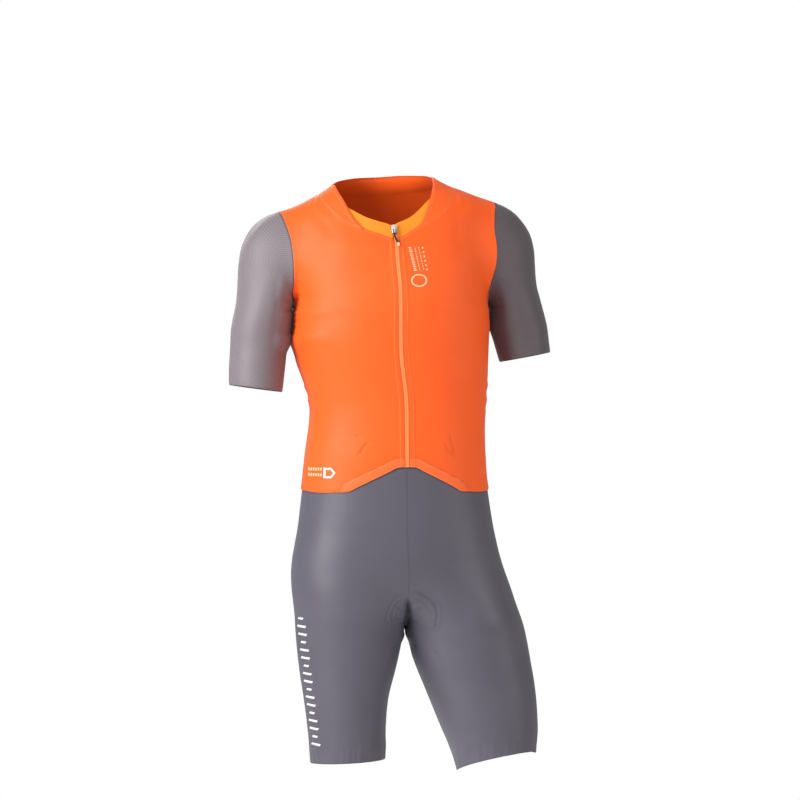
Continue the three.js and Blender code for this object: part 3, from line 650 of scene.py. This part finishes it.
# Shares of the nets' edges where one feature ends and the next starts, for the right and the left front.
SLOPE = (6 / 14, 1.0), (0.0, 8 / 14)  # of the hem, rising to the zip
SEWN_TOP = (0.0, 11 / 14), (3 / 14, 1.0)  # of the top, along the shoulder and the neck band
BAND_SEAM = (5 / 14, 11 / 14), (3 / 14, 9 / 14)
NECKLINE = (11 / 14, 1.0), (0.0, 3 / 14)
ARMHOLE = 12 / 22, 1.0  # of each side edge of the fronts and the back
CROTCH = 10 / 23  # of the shorts' side edges, up from the leg hem

FACING, PLACKET = 13.5, 8.0  # widths of the doubled cloth at the sloped hem and at the zip
# How much darker each panel's cloth is drawn: at seam lines, and as painted shade.
seams_and_shade = {}


def mark(panel, near):
    """Adds lines to those where a panel's cloth is darker: at seam lines, and where shade is painted."""
    seams_and_shade[panel.node] = np.maximum(seams_and_shade.get(panel.node, 0), near)


def turn_hem(panel, to_hem):
    """A hem turned under: its edge rounds off, and a low ridge lies above it."""
    panel.raise_by(-0.9 * bump(to_hem, 2.4) + 0.3 * bump(to_hem - 3.2, 1.8))


FLAT_SEAM = dict(ridge=0.25, groove=0.3)
for k, panel in enumerate(FRONTS):
    to_zip, to_hem, to_slope = panel.to_edge(ZIP_EDGE[k]), panel.to_edge("bottom"), panel.to_edge("bottom", *SLOPE[k])
    step_in(panel, to_zip, PLACKET, 0.55)
    step_in(panel, to_slope, FACING, 0.45)
    panel.raise_by(-0.55 * bump(to_slope - FACING - 0.8, 1.1) - 0.35 * bump(to_zip, 1.4))
    turn_hem(panel, to_hem)
    panel.doubled_and_shade = 0.3 * (1 - smooth(to_slope - FACING + 0.5))
    mark(panel, seam_line(panel, SIDE_EDGE[k]))
    mark(panel, 0.12 * seam_line(panel, "top", first=SEWN_TOP[k][0], last=SEWN_TOP[k][1], **FLAT_SEAM))
    # Painted shade along the grooves at the facing's edge, at the zip and at the placket's edge.
    mark(panel, 0.6 * bump(to_slope - FACING - 0.8, 0.9))
    mark(panel, 0.55 * bump(to_zip, 0.9))
    mark(panel, 0.35 * bump(to_zip - PLACKET - 0.6, 0.8))
    neckline = panel.to_edge("top", *NECKLINE[k])
    panel.raise_by(-0.7 * bump(neckline, 2.0) + 0.25 * bump(neckline - 4, 2.5))
turn_hem(BACK, BACK.to_edge("bottom"))
mark(BACK, seam_line(BACK, "left", "right"))
mark(BACK, 0.12 * seam_line(BACK, "top", **FLAT_SEAM))
mark(BAND, 0.12 * seam_line(BAND, "bottom", **FLAT_SEAM))
BAND.raise_by(0.5 * bump(BAND.to_edge("top") - 3, 3.0) - 0.5 * bump(BAND.to_edge("top"), 1.2))


def under(panel, lines, below, reach, dark):
    """Shade on cloth that lies close under another piece's free edge."""
    near = np.zeros(panel.p.shape[:2])
    for line in lines:
        d, _ = near_line(panel.p, line)
        near = np.maximum(near, dark * bump(np.sqrt(np.maximum(d**2 - below**2, 0)), reach))
    return near


neck_edges = [share_of(front.p[-1], *NECKLINE[k]) for k, front in enumerate(FRONTS)] + [BAND.p[-1]]
# Painted shade on the amber inserts, under the free edges of the neckline and the neck band.
for panel in INSERTS:
    mark(panel, under(panel, neck_edges, 2.4, 1.5, 0.5))
for panel in SLEEVE:
    mark(panel, seam_line(panel, "top", ridge=0.45))
    mark(panel, 0.6 * seam_line(panel, "left", "right", ridge=0.15, groove=0.35))
    cuff = panel.to_edge("bottom")
    panel.raise_by(-0.5 * bump(cuff, 1.5) + 0.15 * bump(cuff - 9, 6))
    mark(panel, 0.9 * bump(cuff, 0.8))

# Creases, each seen from a side as (to the viewer's right, height). The last number is painted shade along the crease.
for seed, panels, points, height, width, dark in (
        # The belly: short folds beside the peak of the hem, darkened with painted shade.
        (1, BODY, [(-41, -428), (-30, -415), (-20, -403)], -1.0, 1.9, 0.5),
        (2, BODY, [(-42, -391), (-36, -399)], -0.9, 1.7, 0.5),
        (3, BODY, [(101, -386), (107, -410), (113, -437)], -1.0, 2.0, 0.45),
        (4, BODY, [(92, -406), (101, -419), (112, -433)], -0.9, 1.9, 0.45),
        (12, BODY, [(-72, -396), (-54, -410), (-44, -430)], -0.3, 7.0, 0),
        # The chest: one fold from the armhole, soft ones under it, and short ones down the armhole's edge.
        (5, BODY, [(-136, -154), (-128, -162), (-122, -170)], -0.9, 2.2, 0),
        (6, BODY, [(-134, -222), (-94, -219), (-52, -213), (-12, -208)], -0.35, 8.0, 0),
        (7, BODY, [(38, -206), (78, -212), (118, -214), (146, -206)], -0.3, 8.0, 0),
        *((20 + i, BODY, [(-140, z + 1), (-133, z), (-124, z - 4 + 2 * (i % 3))], -0.8, 1.9, 0)
          for i, z in enumerate((-178, -186, -193, -201, -209, -218, -228, -239))),
        # The sleeves: beside the fold under each arm.
        (8, SLEEVE, [(-150, -168), (-146, -180), (-141, -194)], 1.2, 3.6, 0),
        (9, SLEEVE, [(-160, -150), (-166, -176), (-164, -200)], -0.8, 5.0, 0),
        (10, SLEEVE, [(174, -140), (182, -160), (184, -184)], -0.9, 5.0, 0)):
    crease(panels, "front", points, height, width, seed=seed, dark=dark)
for i, (z, out) in enumerate(((-322, 0.7), (-334, -0.8), (-345, 0.8), (-357, -0.7))):
    crease(BODY, "right", [(-40, z + 6), (0, z), (44, z + 3)], 1.3 * out, 3.6, seed=30 + i)
    crease(BODY, "left", [(-40, z + 8), (4, z + 2), (40, z)], 0.8 * out, 4.4, seed=40 + i)
# Hidden sides crease in the same way: across the small of the back, under the shoulder blades and at the armholes.
for i, (panels, points, height, width) in enumerate((
        (BODY, [(-112, -336), (-60, -345), (-20, -341), (24, -347), (70, -340), (104, -343)], -1.1, 6.5),
        (BODY, [(-80, -366), (-30, -373), (26, -371), (66, -364)], -0.8, 6.0),
        (BODY, [(-120, -405), (-92, -418), (-74, -434)], -1.0, 5.5),
        (BODY, [(118, -402), (94, -416), (80, -436)], -1.0, 5.5),
        (BODY, [(-128, -208), (-88, -216), (-44, -213)], -0.8, 6.5),
        (BODY, [(132, -210), (92, -218), (50, -212)], -0.8, 6.5),
        (BODY, [(-60, -60), (-78, -92), (-84, -126)], -0.5, 8.0),
        (SLEEVE, [(-206, -150), (-190, -176), (-176, -200)], -0.9, 5.0),
        (SLEEVE, [(166, -150), (158, -180), (160, -206)], -0.9, 5.0))):
    crease(panels, "back", points, height, width, seed=50 + i)

# ---------------------------------------- the shorts: pad outline, rise, raw hems

RISES = [share_of(LEGS[0].p[:, column], CROTCH, 1.0).copy() for column in (-1, 0)]  # the seams in front and behind


def cleft(points, below=0.0):
    """How far cloth, or a layer that far below it, sinks between the legs: narrow in front, wide behind."""
    y, z = points[..., 1], points[..., 2]
    front, back = (np.sqrt(np.maximum(near_line(points, line)[0]**2 - below**2, 0)) for line in RISES)
    shallower = 1 - 0.6 * smooth((y + 50) / 45)
    return np.maximum(smooth((-640 - z) / 32) * shallower * (6.5 * bump(front, 3.6) + 3.5 * bump(front, 10.0)),
                      smooth((z + 500) / -90) * (1.8 * bump(back, 5.0) + 2.2 * bump(back, 14.0)))


for panel, rise_front, rise_back, inwards, swelling in ((LEGS[0], "right", "left", 1, 3.0),
                                                       (LEGS[1], "left", "right", -1, 2.0)):
    x, y, z = (panel.p[..., k] for k in range(3))
    panel.raise_by(-cleft(panel.p))
    mark(panel, 0.35 * seam_line(panel, rise_front, rise_back, ridge=0.2, groove=0.25))
    inner_thigh = smooth((panel.n[..., 0] * inwards - 0.4) / 0.4)
    panel.raise_by(swelling * inner_thigh * smooth((z + 724) / 14) * smooth((60 - abs(y)) / 20))
    # Painted shade down the front rise, in the hollow between the legs.
    mark(panel, 0.9 * smooth((-640 - z) / 24) * smooth(-y / 30) * bump(panel.to_edge(rise_front, CROTCH, 1.0), 3.4))
    hem = panel.to_edge("bottom")
    turn = np.arctan2(y - y.mean(), x - x.mean())
    ribs = np.sin(turn * 52 + 1.3 * waves(panel.p, 40, 5)) + 0.6 * np.sin(turn * 87 + 2.0 * waves(panel.p, 30, 6))
    patch = 0.55 + 0.45 * waves(panel.p, 60, 9, 1)
    panel.raise_by(0.36 * ribs * patch * smooth(1 - hem / 52))
    panel.raise_by(0.3 * np.sin(turn * 23 + 2 * waves(panel.p, 70, 8)) * smooth(1 - hem / 70))
    mark(panel, 0.6 * bump(hem, 0.9))
    # Painted shadow on the shorts, under the body's hem.
    mark(panel, under(panel, [front.p[0] for front in FRONTS], 2.3, 2.4, 0.55))

# The pad's outline shows through as an arc over each thigh, with a fainter one inside it. Each is painted darker along
# its trough: painted shade.
for points, height, width, dark in (
        ([(40, -635.5), (56, -638), (72, -647), (82.5, -660), (84.5, -672), (81.5, -685), (73, -702)], -1.5, 1.9, 0.6),
        ([(46, -643), (60, -650), (71, -661), (76, -673), (74, -688)], -0.9, 1.8, 0.3),
        ([(38, -636), (28, -639), (16, -650), (9, -661), (5, -677), (9, -694)], -1.0, 1.9, 0.35),
        ([(33, -645), (22, -653), (16, -664), (14, -678)], -0.7, 1.8, 0.2)):
    crease(LEGS, "front", points, height, width, lean=0.9, seed=61, dark=dark, ends=6.0)
# Between the arcs lie two short ridges and three troughs, the troughs darkened with painted shade.
for points in ([(12, -655), (22, -664), (31, -674)], [(40, -662), (52, -658), (62, -660)]):
    crease(LEGS, "front", points, 1.2, 2.6, seed=64)
for points in ([(18, -678), (26, -680), (34, -678)], [(22, -685), (29, -688), (34, -687)],
               [(39, -682), (47, -684), (56, -690)]):
    crease(LEGS, "front", points, -1.3, 2.0, seed=66, dark=0.5)

# Creases of the shorts: pulled towards the crotch, under the seat, and behind, above the knees.
for side, first_seed, height, width, lines in (
        ("front", 70, -0.7, 5.5, ([(14, -716), (2, -734), (-8, -756)], [(70, -720), (86, -742), (96, -766)])),
        ("back", 80, -1.3, 6.0, ([(-36, -676), (-70, -690), (-108, -698), (-140, -692)],
                                 [(0, -676), (40, -692), (86, -698), (120, -690)],
                                 [(-50, -704), (-84, -714), (-118, -712)], [(24, -706), (60, -716), (94, -712)])),
        ("back", 90, -0.8, 5.0, ([(-196, -838), (-160, -846), (-128, -840)], [(30, -836), (62, -846), (96, -838)],
                                 [(-190, -866), (-158, -872), (-134, -868)], [(34, -864), (60, -872), (88, -866)]))):
    for i, points in enumerate(lines):
        crease(LEGS, side, points, height, width, seed=first_seed + i)

# ---------------------------------------- shells

KINDS = (  # panels, material, slot, thickness
    (BODY, ORANGE, "orange_cloth", 0.9), ([BAND], ORANGE, "orange_cloth", 1.1), (INSERTS, AMBER, "amber_cloth", 0.9),
    (SLEEVE, SLEEVES, "sleeve_cloth", 0.8), (LEGS, SHORTS, "shorts_cloth", 0.9))
for panel, material, slot, thick in ((panel, *kind) for panels, *kind in KINDS for panel in panels):
    obj = shell(panel, panel.node + "_cloth", material, thick, seams_and_shade[panel.node])
    wide, tall = panel.from_left[:, -1].max(), panel.from_bottom[-1].max()

# ---------------------------------------- sewing

FACING_LINE = (6 / 14, 0.93), (0.07, 8 / 14)  # shares of the hem with the facing's stitches, for both fronts
BACK_NECK = 5 / 22, 17 / 22  # shares of the back's top edge, along the neck band
thread("placket_stitch", [front.line(ZIP_EDGE[k], PLACKET - 0.7, 0.0, 0.985) for k, front in enumerate(FRONTS)],
       ORANGE_THREAD)
thread("body_hem_stitch", [front.line("bottom", distance, *part) for k, front in enumerate(FRONTS)
                           for distance, part in ((FACING - 0.6, FACING_LINE[k]), (0.9, SLOPE[k]))],
       ORANGE_THREAD, stitch=3.2, gap=0.35)
thread("neck_band_stitch", [BAND.line("bottom", 1.6), *(front.line("top", 1.8, *BAND_SEAM[k])
                                                         for k, front in enumerate(FRONTS)),
                            BACK.line("top", 1.8, *BACK_NECK)], ORANGE_THREAD)
thread("neckline_stitch", [FRONTS[0].line("top", 3.6, NECKLINE[0][0], 0.99),
                           FRONTS[1].line("top", 3.6, 0.01, NECKLINE[1][1])], ORANGE_THREAD)
thread("neck_edge_stitch", [BAND.line("top", 5.0)], ORANGE_THREAD)
thread("armhole_stitch", [panel.line(edge, 1.7, *ARMHOLE) for panel, edge in
                          (*zip(FRONTS, SIDE_EDGE), (BACK, "left"), (BACK, "right"))], ORANGE_THREAD)
thread("sleeve_seam_stitch", [panel.line("top", 1.9) for panel in SLEEVE], GREY_THREAD)
for name, first, last in (("rise_stitch", CROTCH, 1.0), ("inseam_stitch", 0.0, CROTCH)):
    thread(name, [panel.line(edge, 2.0, first, last) for panel in LEGS for edge in ("left", "right")], GREY_THREAD)

# ---------------------------------------- zip

coil_net = finer(finer(outer_net("zip_coil", COIL_WALL), 4, 1), 16, 0)
middle = coil_net[:, coil_net.shape[1] // 2]
width = coil_net[:, -1] - coil_net[:, 0]
half = np.linalg.norm(width, axis=1).mean() / 2
across = unit(width)
along = unit(np.gradient(middle, axis=0))
normal = unit(np.cross(across, along))

# The tape lies over the teeth, turns down at its edges and has a shallow groove down its middle.
tape = Panel("zip_coil", np.stack([middle + across * x * half
                                   - normal * (0.3 + 0.8 * smooth((abs(x) - 0.84) / 0.16) + 0.45 * bump(x, 0.07))
                                   for x in np.linspace(-1, 1, 21)], 1))
shell(tape, "zip_tape", TAPE, 0.6)

TOOTH_STEP, TOOTH_DEPTH, TOOTH_REACH, TOOTH_RADIUS = 0.75, 1.35, (-0.5, 2.5), 0.46
far = lengths_along(middle)
points, faces = [], []
for i, s in enumerate(np.arange(1.0, far[-1] - 1.0, TOOTH_STEP)):
    at, out, n, up = (at_length(s, far, values) for values in (middle, across, normal, along))
    out *= 1 if i % 2 else -1
    a, b = (at + out * reach - n * TOOTH_DEPTH for reach in TOOTH_REACH)
    b -= up * 0.25
    u = unit(np.cross(unit(b - a), n))
    v = np.cross(u, unit(b - a))
    rod(points, faces, [[a + (b - a) * t + (u * math.cos(turn) + v * math.sin(turn)) * TOOTH_RADIUS * thin
                         for turn in (math.pi * k / 3 for k in range(6))]
                        for t, thin in ((0, 0.55), (0.12, 1), (0.88, 1), (1, 0.55))])
coil = new_object("zip_coil_teeth", points, faces, COIL)
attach(coil, "garment")
thread("zip_tape_stitch", [(tape.p[:, k] + normal * 0.05, normal) for k in (4, 16)], ORANGE_THREAD,
       stitch=1.8, gap=1.0, width=0.3, height=0.2)


def moulded(node, name, material, body, width):
    """A copy of a rigid CAD piece with rounded edges."""
    me = NODES[node].data.copy()
    me.name = name
    obj = bpy.data.objects.new(name, me)
    bpy.context.collection.objects.link(obj)
    bm = bmesh.new()
    bm.from_mesh(me)
    bmesh.ops.remove_doubles(bm, verts=bm.verts, dist=1e-6)
    bmesh.ops.dissolve_limit(bm, angle_limit=math.radians(3), verts=bm.verts, edges=bm.edges)
    bm.to_mesh(me)
    bm.free()
    me.materials.clear()
    me.materials.append(material)
    bevel = obj.modifiers.new("bevel", "BEVEL")
    bevel.width, bevel.segments, bevel.limit_method, bevel.angle_limit = width * MM, 3, "ANGLE", math.radians(30)
    bevel.use_clamp_overlap = True
    done = bpy.data.meshes.new_from_object(obj.evaluated_get(bpy.context.evaluated_depsgraph_get()))
    obj.modifiers.clear()
    obj.data = done
    done.polygons.foreach_set("use_smooth", [True] * len(done.polygons))
    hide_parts(node)
    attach(obj, body)
    return obj


moulded("zip_slider", "slider_body", METAL, "garment", 0.35)
moulded("zip_pull", "pull_tab", RUBBER, "pull", 0.3)
moulded("zip_pull_tip", "pull_tip", TIP, "pull", 0.3)

# ---------------------------------------- seat pad

# In the hollow of the crotch, the pad's smaller face is the one against the cloth.
pad = Panel("seat_pad", finer(finer(outer_net("seat_pad", PAD, smaller=True), 7, 1), 8, 0))
rows, cols = pad.p.shape[:2]
rim = np.minimum.reduce([pad.to_edge(edge) for edge in EDGE])
u, v = np.linspace(-1, 1, cols)[None, :], np.linspace(-1, 1, rows)[:, None]
channels = sum(bump(np.abs(u) - at, 0.06) for at in (0.36, 0.0)) + 0.8 * bump(np.abs(v) - 0.45, 0.035)
depth = 1.2 + (PAD - 0.6) * smooth(rim / 16) - 2.6 * np.minimum(channels, 1) * smooth((rim - 8) / 8)
sunk = cleft(pad.p, 4.9)
foam = layered(pad, "seat_pad_foam", PAD_CLOTH, pad.p - pad.n * (0.4 * smooth(1 - rim / 8) + sunk)[..., None],
               pad.p - pad.n * (depth + sunk)[..., None], pad.from_bottom, np.zeros((rows, cols)))

# ---------------------------------------- plain prints in place of lettering

PRINT_STEP, PRINT_TOP, PRINT_ROOT = 1.6, 0.16, 0.25  # a print's cells, and how far it stands out of and in the cloth


def printed(name, panel, side, shapes, material):
    """Thin prints on a panel: each shape is four corners seen from a side, laid on the cloth under them."""
    right, towards = (unit(np.array(v, float)) for v in SIDES[side])
    tree = BVHTree.FromPolygons(panel.surface().reshape(-1, 3).tolist(), quads_of(*panel.p.shape[:2]).tolist())
    points, faces = [], []
    for a, b, c, d in np.array(shapes, float):
        n, m = (max(int(np.linalg.norm(q - a) / PRINT_STEP), 1) for q in (b, d))
        hits = []
        for t in np.arange(m + 1) / m:
            for s in np.arange(n + 1) / n:
                q = (a * (1 - s) + b * s) * (1 - t) + (d * (1 - s) + c * s) * t
                origin = right * q[0] + np.array([0, 0, q[1]]) + towards * 400
                hits.append(tree.ray_cast(Vector(origin), Vector(-towards))[:2])
        if any(hit is None for hit, _ in hits):
            continue
        shape_faces = closed_faces(m + 1, n + 1) + len(points)
        points += [np.array(hit) + np.array(out) * lift for lift in (PRINT_TOP, -PRINT_ROOT) for hit, out in hits]
        faces += (shape_faces[:, ::-1] if np.cross(b - a, d - a) < 0 else shape_faces).tolist()
    obj = new_object(name, points, faces, material)
    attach(obj, "garment")
    return obj


def slanted(x, z, wide, tall, lean):
    """A bar whose ends lean: corners from the lower left, anticlockwise."""
    return [(x - wide / 2 - lean, z - tall / 2), (x + wide / 2 - lean, z - tall / 2),
            (x + wide / 2 + lean, z + tall / 2), (x - wide / 2 + lean, z + tall / 2)]


def outlined(corners, centre, share):
    """A frame between a closed outline and the same outline drawn in towards its centre, as four-cornered shapes."""
    outer = [np.array(q, float) for q in corners]
    inner = [centre + (q - centre) * share for q in outer]
    return [[outer[i], outer[j], inner[j], inner[i]] for i in range(len(outer)) for j in [(i + 1) % len(outer)]]


bars = [slanted(-128 + 24 * t, -680 - 194 * t, 14 if i % 3 else 8, 3.4, 0.8)
        for i, t in enumerate(np.linspace(0, 1, 17))]
printed("thigh_print", LEGS[0], "front", bars, PRINT)

# Four columns of small marks on the chest, then a ring below them.
marks = [slanted(41.2 + 0.24 * (-108 - z), z, 5.2 - 1.2 * (i % 2), 1.5, 0)
         for i, z in enumerate(np.arange(-109, -146, -2.9))]
for x, slope, wide, tall, first, step in ((48.5, 0.22, 1.6, 1.5, -110, -2.6), (54.5, 0.22, 1.2, 2.4, -109, -4.1),
                                          (60.5, 0.2, 2.6, 2.6, -109, -6.7)):
    marks += [slanted(x + slope * (-108 - z), z, wide, tall, 0) for z in np.arange(first, -144, step)]
ring_at, ring_half = np.array([55.4, -159.7]), np.array([12.4, 10.0])  # its centre and half its widths
ring = [ring_at + ring_half * (math.cos(t), math.sin(t)) for t in np.linspace(0, 2 * math.pi, 33)[:-1]]
printed("chest_print", FRONTS[1], "front", marks + outlined(ring, ring_at, 0.8), PALE_PRINT)

tag_at = np.array([-82.5, -453.5])
tag = [(-91.5, -461.5), (-79.5, -461.5), (-72.5, -453.5), (-79.5, -445.5), (-91.5, -445.5)]
printed("hem_print", FRONTS[0], "front", outlined(tag, tag_at, 0.62), PRINT)
printed("hem_marks", FRONTS[0], "front",
        [slanted(x, z, 2.6, 4.6, 0) for z in (-448, -456.6) for x in np.arange(-115, -94, 3.9)], PALE_PRINT)

# ---------------------------------------- camera, floor and light

RIGHT, AHEAD = np.array([0.992546, -0.121869, 0]), np.array([0.121869, 0.992546, 0])
AIM = (RIGHT * 26 + np.array([0, 0, -341.5])) * MM
DISTANCE, SEEN_WIDTH, SENSOR = 3.6, 1.256, 36  # metres to the aim, metres seen there, millimetres
camera = bpy.data.objects.new("camera", bpy.data.cameras.new("camera"))
bpy.context.collection.objects.link(camera)
camera.location = AIM - AHEAD * DISTANCE
camera.rotation_euler = (math.radians(90), 0, -math.atan2(AHEAD[0], AHEAD[1]))
camera.data.sensor_width = SENSOR
camera.data.lens = SENSOR * DISTANCE / SEEN_WIDTH
camera.data.clip_end = 60
bpy.context.scene.camera = camera

FLOOR_RADIUS, FLOOR_LEVEL, FLOOR_SIDES = 3200, -1560, 96
floor_material = hard("floor_matt", (0.86, 0.86, 0.86, 1), (0.83, 0.83, 0.83, 1), 0.8, grain=60)
floor = new_object("floor", [(FLOOR_RADIUS * math.cos(t), FLOOR_RADIUS * math.sin(t), FLOOR_LEVEL)
                             for t in np.linspace(0, 2 * math.pi, FLOOR_SIDES + 1)[:-1]],
                   [tuple(range(FLOOR_SIDES))], floor_material)


def lamp(name, place, size, power, colour=(1, 1, 1)):
    """A rectangular lamp turned towards the suit: its place in millimetres, its size in metres."""
    data = bpy.data.lights.new(name, "AREA")
    data.shape, data.size, data.size_y, data.energy, data.color = "RECTANGLE", size[0], size[1], power, colour
    obj = bpy.data.objects.new(name, data)
    bpy.context.collection.objects.link(obj)
    obj.location = np.array(place) * MM
    obj.rotation_euler = (Vector((20, 0, -400)) - Vector(place)).to_track_quat("-Z", "Y").to_euler()


lamp("key", (-2900, -1700, 800), (1.6, 2.2), 165, (1.0, 0.985, 0.97))
lamp("front", (300, -3000, 900), (1.8, 1.6), 17)
lamp("fill", (2600, -1500, 200), (1.4, 2.0), 27, (1.0, 0.9, 0.82))
lamp("behind", (-500, 3000, 900), (2.0, 1.6), 40)
lamp("top", (0, 100, 2300), (1.6, 1.6), 12)

# The camera sees a white background. The suit is lit by a dimmer room.
world = bpy.data.worlds.new("studio")
bpy.context.scene.world = world
world.use_nodes = True
tree = world.node_tree
shown, room = tree.nodes["Background"], tree.nodes.new("ShaderNodeBackground")
for background, colour, strength in ((shown, (1, 1, 1, 1), 1.0), (room, (0.98, 0.99, 1.0, 1), 0.3)):
    background.inputs["Color"].default_value, background.inputs["Strength"].default_value = colour, strength
mixed, ray = tree.nodes.new("ShaderNodeMixShader"), tree.nodes.new("ShaderNodeLightPath")
tree.links.new(ray.outputs["Is Camera Ray"], mixed.inputs["Fac"])
tree.links.new(room.outputs[0], mixed.inputs[1])
tree.links.new(shown.outputs[0], mixed.inputs[2])
tree.links.new(mixed.outputs[0], tree.nodes["World Output"].inputs["Surface"])
view = bpy.context.scene.view_settings
view.view_transform, view.look, view.exposure, view.gamma = "Standard", "None", 0.0, 1.0
